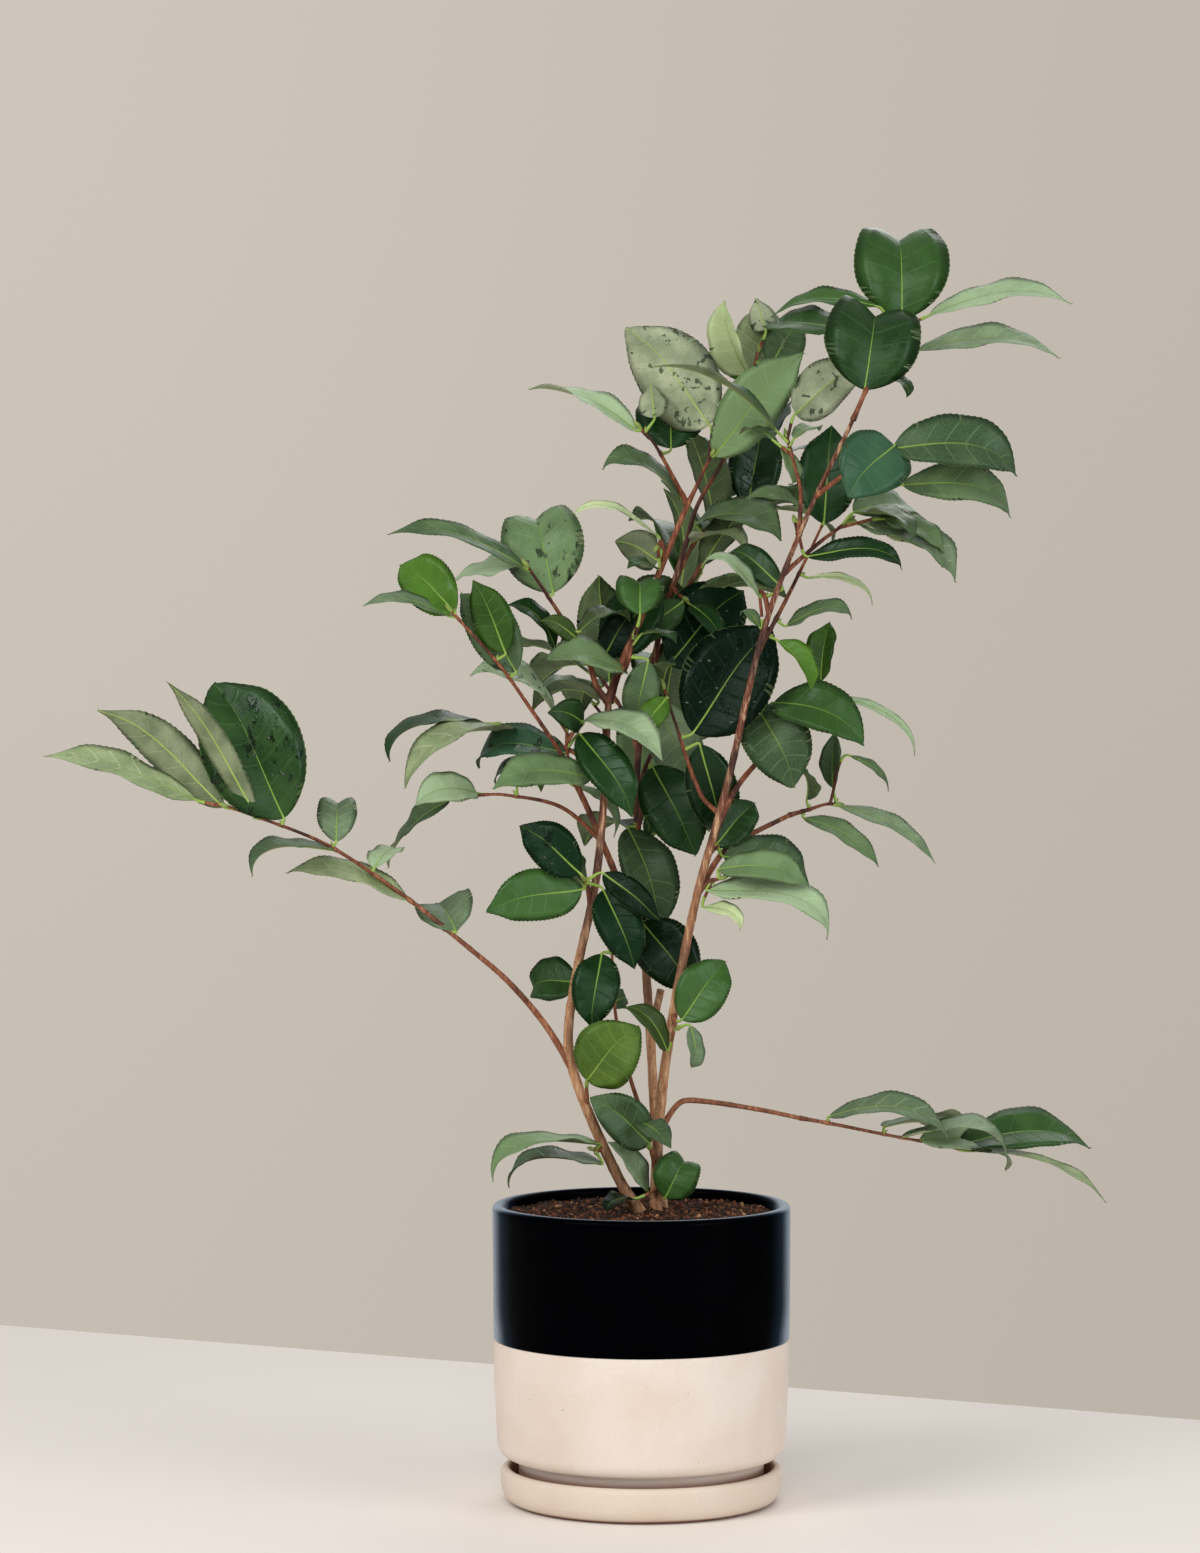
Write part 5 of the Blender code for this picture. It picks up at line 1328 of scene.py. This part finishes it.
def place_leaves(limbs, shoots):
    """Every leaf that finds room, by shoot."""
    limb_solids = [Solid(name, *limb.tube(BOUGH_SIDES, CLEARANCE)) for name, limb in limbs.items()]
    twig_solids = [Solid(name, *shoot.tube(TWIG_SIDES, CLEARANCE))
                   for name, shoot in shoots.items()]
    whole, blades = [], []
    placed = {name: [] for name in SHOOTS}
    dice = random.Random(SEED)
    for name, (_, _, _, rows, grown, _) in SHOOTS.items():
        taken = []
        wanted = [given_leaf(shoots[name], row, taken) for row in rows]
        wanted += [rule_leaf(shoots[name], index, grown, dice) for index in range(grown)]
        others = limb_solids + twig_solids + whole
        near = [solid for solid in others if solid.owner != name]
        for leaf in wanted:
            for variation in VARIATIONS:
                tried = varied(leaf, *variation)
                solid = Solid(name, *tried.solid(CLEARANCE))
                if any(solid.touches(other) for other in near):
                    continue
                blade = Solid(name, *tried.solid(0.0, blade_only=True))
                if any(blade.touches(other) for other in twig_solids + blades
                       if other.owner == name):
                    continue
                placed[name].append(tried)
                whole.append(Solid(name, *tried.solid()))
                blades.append(blade)
                break
    return placed


shoots = {}
for name, (parent, height, points, *_) in SHOOTS.items():
    foot_radius = min(TWIG_FOOT, limbs[parent].tip_radius) if height is TIP else TWIG_FOOT
    shoot = start_limb(limbs[parent], height, points, foot_radius, TWIG_TIP, TWIG_STEP)
    shoot.fine = resample(shoot.path, STALK_STEP)
    shoot.fine_total = lengths_along(shoot.fine)
    shoots[name] = shoot
placed = place_leaves(limbs, shoots)
print(sum(len(leaves) for leaves in placed.values()), "leaves on", len(shoots), "shoots")

# %% [markdown]
# ## Leaf finishes
# A camellia leaf is leathery and glossy above, pale and dull beneath. Its colours follow the
# blade, so the material reads the leaf's own UV map: u runs from stalk to tip and v from edge
# to edge. From these two numbers come the midrib, the side veins that curve towards the tip,
# and the thin pale margin. Young leaves are bright, old ones nearly black-green, and the
# greyish, silver and pale ones carry a painted sheen in their colour; each is a material of its
# own, dealt out by the planting plan. On top of that is real gloss, tinted a little by the wax,
# so it moves with the light.

# %% Leaf finishes
VEINS = 7.0              # side veins on each half of a blade
VEIN_SWEEP = 0.13        # how far forward a vein runs, of the blade's length
RIB_EDGE = 0.075         # share of the half-breadth that is midrib
NET = (34.0, 15.0, 1.0)  # cells of the fine net of veins along and across a blade
BRIGHTER = 1.7           # the veins' colour against the blade's lightest
WAX_TINT = (0.72, 0.95, 0.80, 1.0)
SHARP_GLOSS, SHARP_BELOW = 0.13, 0.3   # the sharpest sheen is the weakest
SOFT_GLOSS = 0.27


def blade_marks(tree):
    """Masks on a blade: u, and how much veins, midrib, margin and net of veins show."""
    uv = put(tree, "ShaderNodeUVMap", uv_map="blade").outputs[0]
    u, v, _ = split(tree, uv)
    away = times(tree, calc(tree, "ABSOLUTE", calc(tree, "SUBTRACT", v, 0.5)), 2.0)
    phase = times(tree, calc(tree, "SUBTRACT", u, times(tree, away, VEIN_SWEEP)), VEINS)
    nearest = calc(tree, "ABSOLUTE", calc(tree, "SUBTRACT", calc(tree, "FRACT", phase), 0.5))
    vein = times(tree, step_down(tree, nearest, 0.0, 0.075), step_down(tree, away, 0.55, 0.95))
    rib = step_down(tree, away, RIB_EDGE * 0.7, RIB_EDGE * 1.25)
    margin = step_up(tree, away, 0.965, 0.995)
    net = put(tree, "ShaderNodeTexVoronoi", {"Vector": stretched(tree, uv, *NET), "Scale": 1.0},
              feature="DISTANCE_TO_EDGE").outputs["Distance"]
    return u, vein, rib, margin, step_down(tree, net, 0.0, 0.12)


def upper_finish(name, deep, light, roughness, wet=False):
    """The upper side of a leaf in one colour; the greyish, silver and pale colours hold a painted
    sheen.
    """
    gloss = SHARP_GLOSS if roughness < SHARP_BELOW else SOFT_GLOSS
    made, tree, shader = new_finish(name, roughness, gloss)
    shader.inputs["Specular Tint"].default_value = WAX_TINT
    place = object_place(tree)
    u, vein, rib, margin, net = blade_marks(tree)
    clouds = noise_at(tree, place, 55.0, 3.0)
    mix = calc(tree, "ADD", times(tree, number_named(tree, "tone"), 0.65), times(tree, clouds, 0.6))
    color = blend_color(tree, step_up(tree, mix, 0.25, 0.95), deep, light)
    pale = tuple(min(1.0, BRIGHTER * part) for part in light[:3]) + (1.0,)
    color = wash(tree, color, net, 0.08, pale)
    color = wash(tree, color, vein, 0.20, pale)
    color = wash(tree, color, rib, step_up(tree, u, 0.10, 0.9, 0.80, 0.22), linear(136, 170, 74))
    color = wash(tree, color, margin, 0.5, linear(128, 156, 84))
    freckle = step_up(tree, noise_at(tree, place, 230.0, 1.0), 0.74, 0.80)
    color = wash(tree, color, freckle, 0.35, linear(46, 52, 30))
    rough = step_up(tree, clouds, 0.3, 0.7, roughness - 0.05, roughness + 0.07)
    height = calc(tree, "SUBTRACT", times(tree, rib, 0.8), times(tree, vein, 0.6))
    height = calc(tree, "SUBTRACT", height, times(tree, net, 0.10))
    if wet:
        runs = noise_at(tree, stretched(tree, place, 1.0, 1.0, 0.6), 120.0, 3.0, 0.6)
        film = step_up(tree, runs, 0.585, 0.63)
        color = wash(tree, color, film, 0.75, linear(10, 22, 14))
        rough = blend_number(tree, film, rough, 0.08)
        height = calc(tree, "ADD", height, times(tree, film, 0.9))
    set_color(tree, shader, color)
    tree.links.new(rough, shader.inputs["Roughness"])
    add_bump(tree, shader, height, 0.00028)
    return made


def under_finish(name, deep, light, specks=0.0):
    """The underside: pale and dull, with a raised yellow-green midrib and perhaps dark specks."""
    made, tree, shader = new_finish(name, 0.5, 0.4)
    place = object_place(tree)
    _, vein, rib, margin, net = blade_marks(tree)
    clouds = noise_at(tree, place, 60.0, 3.0)
    color = blend_color(tree, step_up(tree, clouds, 0.3, 0.72), deep, light)
    color = wash(tree, color, net, 0.14, linear(96, 118, 74))
    color = wash(tree, color, vein, 0.16, linear(176, 190, 138))
    color = wash(tree, color, rib, 0.9, linear(158, 190, 84))
    color = wash(tree, color, margin, 0.5, linear(150, 176, 98))
    painted_shade_and_wet_specks = step_up(tree, noise_at(tree, place, 150.0, 2.0, 0.6), 0.62, 0.66, 0.0, specks)
    set_color(tree, shader, blend_color(tree, painted_shade_and_wet_specks, color, linear(34, 58, 30)))
    height = calc(tree, "ADD", times(tree, vein, 0.8), times(tree, net, 0.4))
    add_bump(tree, shader, height, 0.00025)
    return made


# Greyish, silver and pale are green blades with a painted sheen in their colour.
LEAF_COLOURS_AND_SHEEN = {                 # name, darkest and lightest colour of a leaf, and its roughness
    "k": ("blackish", (4, 20, 9), (11, 38, 17), 0.28),
    "d": ("dark", (6, 24, 8), (25, 58, 21), 0.31),
    "m": ("middle", (23, 48, 18), (57, 92, 40), 0.33),
    "y": ("young", (32, 59, 11), (77, 117, 34), 0.35),
    "g": ("greyish", (49, 71, 44), (110, 136, 92), 0.37),
    "s": ("silver", (86, 106, 77), (161, 185, 145), 0.41),
    "b": ("bluish", (18, 42, 30), (57, 95, 66), 0.33),
    "o": ("olive", (21, 35, 10), (57, 77, 30), 0.35),
    "p": ("pale", (111, 128, 89), (196, 213, 161), 0.43),
    "l": ("lime", (62, 88, 28), (112, 142, 54), 0.38),
}
# Three copies of one underside at three brightnesses: the shaded one is painted shade, the pale and
# greyish ones go under the leaves with painted sheen.
BENEATH = {"s": 1, "p": 1, "g": 2}      # the undersides of these colours, else the first one
leaf_finishes = [under_finish("underside_shaded", linear(56, 78, 40), linear(84, 104, 62)),
                 under_finish("underside_pale", linear(134, 146, 116), linear(180, 188, 156), 0.85),
                 under_finish("underside_greyish", linear(90, 104, 72), linear(132, 142, 108))]
finish_index = {}
for letter, (word, deep, light, roughness) in LEAF_COLOURS_AND_SHEEN.items():
    for key, ending in ((letter, ""), (letter.upper(), "_wet")):
        finish_index[key] = len(leaf_finishes)
        leaf_finishes.append(upper_finish(f"leaf_{word}{ending}", linear(*deep), linear(*light),
                                          roughness, bool(ending)))
print(len(leaf_finishes), "leaf finishes")

# %% [markdown]
# ## The blade
# Up close a blade is a thin shell. Across it run nine columns of points, close together at the
# midrib, which is a low ridge above and a strong one beneath. Along it, each tooth of the
# margin takes two stations: one in the notch and one on the point, which leans towards the tip.
# Between the side veins the surface puffs up slightly, and the halves wave a little. Every
# blade follows the curve of its own solid, so none strays from its place.

# %% Mesh of a blade
RIB_COLUMN = 0.10        # these columns run along the edges of the midrib
COLUMNS = (-1.0, -0.68, -0.34, -RIB_COLUMN, 0.0, RIB_COLUMN, 0.34, 0.68, 1.0)
TEETH = 21
FIRST_TOOTH, LAST_TOOTH = 0.12, 0.965
TOOTH = 0.52             # mm, how far a tooth stands out
PUFF = 0.32              # mm, depth of the creases over side veins
WAVE = 1.3               # mm, waving of the margin
DRIFT = 2.6              # mm, how far a drip tip may swing sideways
DIP = 1.6                # mm, how far it bends back
BOW = 0.07               # how far a blade bows upwards in its own plane, of its length
LOBES = {"heart": (0.30, 1.14)}   # rise of the shoulders, of the half-breadth, and widening
SHELL = 0.21             # mm, half the thickness of a blade
RIB_WIDTH = 0.8          # mm, half the width of the midrib at the stalk
RIB_RISE, RIB_DEPTH = 0.20, 0.60
FULL_RISE, FULL_FALL = 0.66, 0.80
TIP_PINCH = 0.55         # how much the last of the blade draws in to its drip tip
PINCH_FROM, PINCH_OVER = 0.76, 0.22   # where along the blade that starts, and how soon it is full
DRIFT_FROM = 0.72        # where along the blade its drip tip starts to swing
SHOULDER_FROM, SHOULDER_OVER = 0.35, 0.45
FIRST_STATIONS, LAST_STATIONS = (0.006, 0.02, 0.045, 0.08), (0.972, 0.988)
TOOTH_LEAN = 0.72        # where a tooth's point stands, of the tooth's width


def full_width(u, breadth):
    """Outline of the finished blade: fuller than its solid, then drawn in to a drip tip.

    A broad blade keeps its round end and draws in less.
    """
    widest = FULL_RISE / (FULL_RISE + FULL_FALL)
    u = min(max(u, 1e-5), 1 - 1e-5)
    body = (u / widest) ** FULL_RISE * ((1 - u) / (1 - widest)) ** FULL_FALL
    pinch = min(max((u - PINCH_FROM) / PINCH_OVER, 0.0), 1.0)
    drawn = TIP_PINCH * min(max(1.5 - 1.6 * breadth, 0.25), 1.0)
    return body * (1 - drawn * pinch * pinch * (3 - 2 * pinch))


def stations():
    """Places along a blade, each with the part of a tooth that stands out there."""
    result = [(u, 0.0) for u in FIRST_STATIONS]
    width = (LAST_TOOTH - FIRST_TOOTH) / TEETH
    for tooth in range(TEETH):
        start = FIRST_TOOTH + width * tooth
        result += [(start, 0.0), (start + TOOTH_LEAN * width, 1.0)]
    return result + [(u, 0.0) for u in LAST_STATIONS]


STATIONS = stations()


def blade_shell(leaf, dice):
    """Points, faces, UV places and sides (True for the upper) of one blade."""
    fold, cup = math.radians(FORMS[leaf.form][2]), FORMS[leaf.form][3]
    phases = (dice.random(), dice.random())
    puff_sweep = dice.uniform(0.9, 1.1)
    drift = dice.uniform(-DRIFT, DRIFT)
    rise, widening = LOBES.get(leaf.form, (0.0, 1.0))
    verts, uvs, faces, sides = [], [], [], []
    for u, tooth in STATIONS:
        middle, side, normal, half = leaf.section(u)
        half *= full_width(u, leaf.breadth) / half_width(u) * widening
        if not rise:
            late = max(u - DRIFT_FROM, 0.0) / (1 - DRIFT_FROM)
            middle = middle + side * drift * late ** 2 - normal * DIP * late ** 2
        middle = middle + side * side.z * BOW * leaf.length * math.sin(math.pi * u ** 1.5)
        shoulder = rise * min(max((u - SHOULDER_FROM) / SHOULDER_OVER, 0.0), 1.0) ** 1.5
        rib = min(RIB_WIDTH * (1 - 0.65 * u), half * 0.3)
        top, bottom = [], []
        for v in COLUMNS:
            across = math.copysign(rib, v) if abs(v) == RIB_COLUMN else v * half
            if abs(v) == 1.0 and tooth:
                across += math.copysign(TOOTH * min(1.0, half / 8), v)
            share = abs(across) / half
            wave = math.sin(math.tau * (1.5 * u + phases[v > 0]))
            wave += 0.45 * math.sin(math.tau * (3.6 * u + phases[v < 0]))
            wave *= WAVE * share * share * min(1, half / 12)
            phase = ((u - VEIN_SWEEP * share) * VEINS * puff_sweep) % 1.0
            crease = math.exp(-((phase - 0.5) / 0.16) ** 2)
            crease *= min(1.0, 3 * share) * (1 - min(share, 1.0) ** 3)
            lift = half * (share * math.sin(fold) - cup * share * share + shoulder * share ** 1.3)
            point = middle + side * across * math.cos(fold) + normal * (lift + wave - PUFF * crease)
            above = below = SHELL * (1 - 0.6 * share)
            if v == 0:
                above += RIB_RISE * (1 - 0.7 * u)
                below += RIB_DEPTH * (1 - 0.8 * u)
            top.append(point + normal * above)
            bottom.append(point - normal * below)
        top[0], top[-1] = (top[0] + bottom[0]) / 2, (top[-1] + bottom[-1]) / 2
        verts += top + bottom[-2:0:-1]
        uvs += [(u, 0.5 + v / 2) for v in COLUMNS + COLUMNS[-2:0:-1]]
    ring = 2 * len(COLUMNS) - 2
    upper = [place < len(COLUMNS) - 1 for place in range(ring)]
    last = len(verts) - ring
    for low in range(0, last, ring):
        faces += band(low, ring)
        sides += upper
    for u, first in ((0.0, 0), (1.0, last)):
        verts.append(leaf.section(u)[0])
        uvs.append((u, 0.5))
        for place in range(ring):
            corners = (first + (place + 1) % ring, first + place, len(verts) - 1)
            faces.append(corners[::-1] if first else corners)
        sides += upper
    return verts, faces, uvs, sides


# %% All the blades
wet_points, wet_faces = [], []    # upper sides of the leaves that carry drops


def leaf_piece(name, members):
    """One piece of all the blades of these shoots."""
    verts, faces, uvs, finishes, tones = [], [], [], [], []
    for shoot_name in members:
        dice = random.Random(shoot_name)
        for leaf, letter in zip(placed[shoot_name], SHOOTS[shoot_name][5]):
            # Leaves on the far side get the underside with painted shade.
            beneath = 0 if shoot_name.startswith("rear") else BENEATH.get(letter.lower(), 0)
            tone = dice.random()
            points, shell, places, sides = blade_shell(leaf, dice)
            start = len(verts)
            verts += points
            uvs += places
            tones += [tone] * len(points)
            faces += [tuple(start + corner for corner in face) for face in shell]
            finishes += [finish_index[letter] if upper else beneath for upper in sides]
            if letter.isupper():
                first = len(wet_points)
                wet_points.extend(points)
                wet_faces.extend(tuple(first + corner for corner in face)
                                 for face, upper in zip(shell, sides) if upper)
    piece = new_piece(name, verts, faces, leaf_finishes)
    mesh = piece.data
    mesh.polygons.foreach_set("material_index", finishes)
    layer = mesh.uv_layers.new(name="blade")
    for loop in mesh.loops:
        layer.data[loop.index].uv = uvs[loop.vertex_index]
    mesh.attributes.new("tone", "FLOAT", "POINT").data.foreach_set("value", tones)
    return piece


GROUPS = {
    "leaves_left": [name for name in SHOOTS if name.startswith(("left", "leader", "fork", "foot"))],
    "leaves_right": [name for name in SHOOTS if name.startswith(("right", "inner"))],
    "leaves_crown": [name for name in SHOOTS if name.startswith(("crown", "back"))],
    "leaves_rear": [name for name in SHOOTS if name.startswith("rear")],
}
for name, members in GROUPS.items():
    settle(leaf_piece(name, members), ["foliage_" + member for member in members])

# %% [markdown]
# ## Twigs, stalks and buds
# A shoot's twig is rust brown with a low ring at every leaf. Where a leaf stands well off its
# shoot, a side twig carries it. Every blade hangs from a short fleshy stalk, yellow-green and
# thickest at its foot, that runs on into the midrib. In each corner sits a pointed bud, and the
# largest one ends the shoot.

# %% Twigs and stalks
STALK_LENGTH = 9.0       # mm of fleshy stalk at the end of a side twig
STALK_FOOT, STALK_END = 1.15, 0.62
STALK_OVERLAP = 1.3      # mm of a side twig inside the stalk
NODE_SWELL, NODE_WIDTH = 0.28, 1.8    # ring where a leaf stands, of the radius, and in mm
TWIG_COLLAR_LENGTH, MOST_SWELL = 5.0, 0.5
END_BUD, SIDE_BUD = (6.0, 8.5), (2.6, 4.4)   # mm, lengths of the buds


def stalk_curve(leaf):
    """Points from the twig to the foot of the blade, which arrive along the midrib."""
    span = (leaf.foot - leaf.root).length
    ahead = (leaf.section(0.06)[0] - leaf.section(0.0)[0]).normalized()
    heading = (leaf.foot - leaf.root).normalized()
    count = max(5, round(span / 1.2))
    result = []
    for index in range(count + 1):
        t = index / count
        result.append(leaf.root * (2 * t**3 - 3 * t**2 + 1) + heading * span * (t**3 - 2 * t**2 + t)
                      + leaf.foot * (3 * t**2 - 2 * t**3) + ahead * span * 0.8 * (t**3 - t**2))
    return result + [leaf.section(0.012)[0], leaf.section(0.03)[0]]


twig_paths, stalk_paths, bud_rows = [], [], []
dice = random.Random(5)
for name, shoot in shoots.items():
    path, total, radii = from_joint(shoot, 1.1)
    rows = []
    for point, length, radius in zip(path, total, radii):
        swell = sum(NODE_SWELL * math.exp(-((point - leaf.root).length / NODE_WIDTH) ** 2)
                    for leaf in placed[name])
        swell += COLLAR * math.exp(-(length / TWIG_COLLAR_LENGTH) ** 2)
        rows.append((point, radius * (1 + min(swell, MOST_SWELL))))
    twig_paths.append(rows)
    bud_rows.append((path[-1], direction_at(path, len(path) - 1), dice.uniform(*END_BUD)))
    for leaf in placed[name]:
        curve = stalk_curve(leaf)
        run = lengths_along(curve)
        split_at = 0.0
        if (leaf.foot - leaf.root).length > SIDE_TWIG:
            split_at = max(run[-1] - STALK_LENGTH, 0.0)
            side_twig = [(point, SIDE_TWIG_RADIUS) for point, length in zip(curve, run)
                         if length <= split_at + STALK_OVERLAP]
            if len(side_twig) > 2:
                twig_paths.append(side_twig)
        slope = (STALK_END - STALK_FOOT) / (run[-1] - split_at)
        stalk_paths.append([(point, STALK_FOOT + slope * (length - split_at))
                            for point, length in zip(curve, run) if length >= split_at])
        outward = ((curve[2] - curve[0]).normalized()
                   + direction_at(shoot.fine, len(shoot.fine) // 2)).normalized()
        bud_rows.append((curve[0].lerp(curve[1], 0.5), outward, dice.uniform(*SIDE_BUD)))

FOLIAGE = ["foliage_" + name for name in SHOOTS]
twigs = grow_tubes("twigs_bark", twig_paths, twig_bark, 10, 0.22, 420.0)
settle(twigs, FOLIAGE)

stalk_green, tree, shader = new_finish("stalk_green", 0.4, 0.45)
clouds = noise_at(tree, object_place(tree), 140.0, 2.0)
set_color(tree, shader, blend_color(tree, clouds, linear(112, 148, 52), linear(160, 188, 84)))
stalks = grow_tubes("leaf_stalks", stalk_paths, stalk_green, 8, 0.1, 300.0)
settle(stalks, FOLIAGE)

# %% Buds
bud_finish, tree, shader = new_finish("bud_scales", 0.45, 0.45)
clouds = noise_at(tree, object_place(tree), 300.0, 2.0)
color = blend_color(tree, clouds, linear(104, 132, 58), linear(150, 168, 84))
brown = step_up(tree, number_named(tree, "height"), 0.62, 1.0, 0.0, 0.7)
set_color(tree, shader, blend_color(tree, brown, color, linear(126, 84, 48)))
# How far up a bud each ring is, of its length, and how wide, where 1 is its full width.
BUD_RINGS = ((0.0, 0.55), (0.12, 0.85), (0.22, 0.74), (0.3, 1.0), (0.42, 0.98), (0.5, 0.84),
             (0.58, 0.86), (0.74, 0.55), (0.9, 0.2))
BUD_SIDES = 7
BUD_WIDTH = 0.2          # half the width of a bud, of its length
verts, faces, heights = [], [], []
for foot, heading, length in bud_rows:
    across = heading.orthogonal().normalized()
    start = len(verts)
    for part, width in BUD_RINGS:
        for side in range(BUD_SIDES):
            spoke = Matrix.Rotation(math.tau * side / BUD_SIDES + part, 3, heading) @ across
            verts.append(foot + heading * length * part + spoke * width * length * BUD_WIDTH)
            heights.append(part)
    verts.append(foot + heading * length)
    heights.append(1.0)
    last = start + (len(BUD_RINGS) - 1) * BUD_SIDES
    for low in range(start, last, BUD_SIDES):
        faces += band(low, BUD_SIDES)
    faces += [(last + side, last + (side + 1) % BUD_SIDES, len(verts) - 1)
              for side in range(BUD_SIDES)]
    faces.append(tuple(range(start, start + BUD_SIDES))[::-1])
buds = new_piece("buds", verts, faces, [bud_finish])
buds.data.attributes.new("height", "FLOAT", "POINT").data.foreach_set("value", heights)
settle(buds, FOLIAGE)

# %% [markdown]
# ## Water drops
# The wet leaves carry beads of water. A tree sprinkles flattened round drops over the upper
# faces of those leaves, each sized at random and turned to lie on its face. A drop is clear,
# so it shows as a dark bead with a bright spot; a smooth dark finish gives the same look and
# needs no refraction.

# %% Water drops
bead, tree, shader = new_finish("water_bead", 0.04, 0.9)
shader.inputs["Base Color"].default_value = linear(20, 34, 22)
BEAD_SHAPE = (1.0, 0.8, 0.42)

tree, given, result = new_tree("sprinkle_drops", SCATTER_INPUTS)
spots = scatter(tree, given)
drop = put(tree, "GeometryNodeMeshUVSphere", {"Segments": 8, "Rings": 6, "Radius": 1.0})
mostly_small = calc(tree, "POWER", random_number(tree, 0.0, 1.0, 2), 3.0)
radius = put(tree, "ShaderNodeMapRange", {0: mostly_small, 3: given["Smallest"],
                                          4: given["Largest"]}).outputs[0]
beads = put(tree, "GeometryNodeInstanceOnPoints",
            {"Points": spots["Points"], "Instance": drop.outputs["Mesh"],
             "Rotation": spots["Rotation"], "Scale": scaled(tree, BEAD_SHAPE, radius)})
close_tree(tree, beads.outputs[0], given, result)
drops = new_piece("water_drops", wet_points, wet_faces, [bead])
run_tree(drops, tree, {"Amount": 9000.0, "Smallest": 0.0003, "Largest": 0.0013, "Seed": 4,
                       "Finish": bead})
drops.data.shade_smooth()
settle(drops, FOLIAGE)

# %% [markdown]
# ## Table, background and light
# The table is a pale slab whose back edge runs slightly askew, and what lies beyond it is a
# warm grey with painted light: lighter on the left and darker low down. One large soft light
# from the upper left shapes the leaves, a weaker one fills from the right, a third from the
# front opens the shade at the foot of the pot, and one behind gives the edges a glow. Big lights
# make a soft sheen on the leaves; small ones would make hard spots.

# %% Table
EDGE_LEFT, EDGE_RIGHT = (-0.484, 0.725, 0), (0.376, 0.290, 0)   # two places on its back edge
SLAB_LEFT, SLAB_RIGHT, SLAB_FRONT = 2.6, 3.38, 3.9   # metres from the first of them
SLAB_DEPTH = 0.03

tabletop, tree, shader = new_finish("pale_tabletop", 0.75, 0.2)
clouds = noise_at(tree, object_place(tree), 3.0, 2.0)
set_color(tree, shader, blend_color(tree, clouds, linear(235, 228, 222), linear(240, 233, 227)))
back = Vector(EDGE_LEFT)
run = (Vector(EDGE_RIGHT) - back).normalized()
front = Vector((run.y, -run.x, 0)) * SLAB_FRONT
corners = [back - run * SLAB_LEFT, back + run * SLAB_RIGHT]
corners += [corners[1] + front, corners[0] + front]
verts = corners + [corner - Vector((0, 0, SLAB_DEPTH)) for corner in corners]
faces = [(0, 3, 2, 1), (4, 5, 6, 7)] + [(side, (side + 1) % 4, (side + 1) % 4 + 4, side + 4)
                                        for side in range(4)]
table = new_piece("table_slab", verts, faces, [tabletop], 1.0)
table.data.shade_flat()
table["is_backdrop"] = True

# %% Background and lights
# Painted light on the backdrop: lighter on the left, darker low down.
WALL_LEFT, WALL_RIGHT = linear(206, 198, 187), linear(193, 185, 174)
WALL_LOW = linear(176, 168, 155)
world = bpy.data.worlds.new("studio")
bpy.context.scene.world = world
world.use_nodes = True
tree = world.node_tree
ray = put(tree, "ShaderNodeLightPath")
direction = put(tree, "ShaderNodeTexCoord").outputs["Generated"]
x, y, z = split(tree, direction)
level = times(tree, step_up(tree, z, -0.3, 0.9, 0.18, 0.55), step_up(tree, y, -0.9, 0.1, 0.60, 1.0))
wall = blend_color(tree, step_up(tree, x, -0.16, 0.16), WALL_LEFT, WALL_RIGHT)
wall = blend_color(tree, step_up(tree, z, -0.20, 0.16, 0.3, 0.0), wall, WALL_LOW)
seen = put(tree, "ShaderNodeBackground", {0: wall, 1: 1.0})
felt = put(tree, "ShaderNodeBackground", {0: (1.0, 0.99, 0.97, 1.0), 1: level})
either = put(tree, "ShaderNodeMixShader", {0: ray.outputs["Is Camera Ray"], 1: felt.outputs[0],
                                           2: seen.outputs[0]})
tree.links.new(either.outputs[0], tree.nodes["World Output"].inputs[0])


def soft_light(name, place, aim, size, power, color):
    """A square area light that looks at a point."""
    data = bpy.data.lights.new(name, "AREA")
    data.size = size
    data.energy = power
    data.color = color
    lamp = bpy.data.objects.new(name, data)
    lamp.location = place
    lamp.rotation_euler = (Vector(aim) - Vector(place)).to_track_quat("-Z", "Y").to_euler()
    bpy.context.scene.collection.objects.link(lamp)


CENTRE = (0.0, 0.0, 0.4)
soft_light("key", (-1.6, -1.5, 1.5), CENTRE, 1.2, 31.0, (1.0, 0.98, 0.95))
soft_light("fill", (1.9, -1.5, 0.9), CENTRE, 1.4, 24.0, (0.96, 0.98, 1.0))
soft_light("front", (-0.2, -2.3, 1.5), CENTRE, 1.0, 15.0, (1.0, 0.99, 0.97))
soft_light("rim", (0.5, 1.6, 1.7), CENTRE, 1.2, 9.0, (1.0, 1.0, 1.0))
bpy.context.scene.view_settings.view_transform = "Standard"

# %% Sizes
low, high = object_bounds()
print("visual box in mm:", [round(value / MM) for value in (*low, *high)])
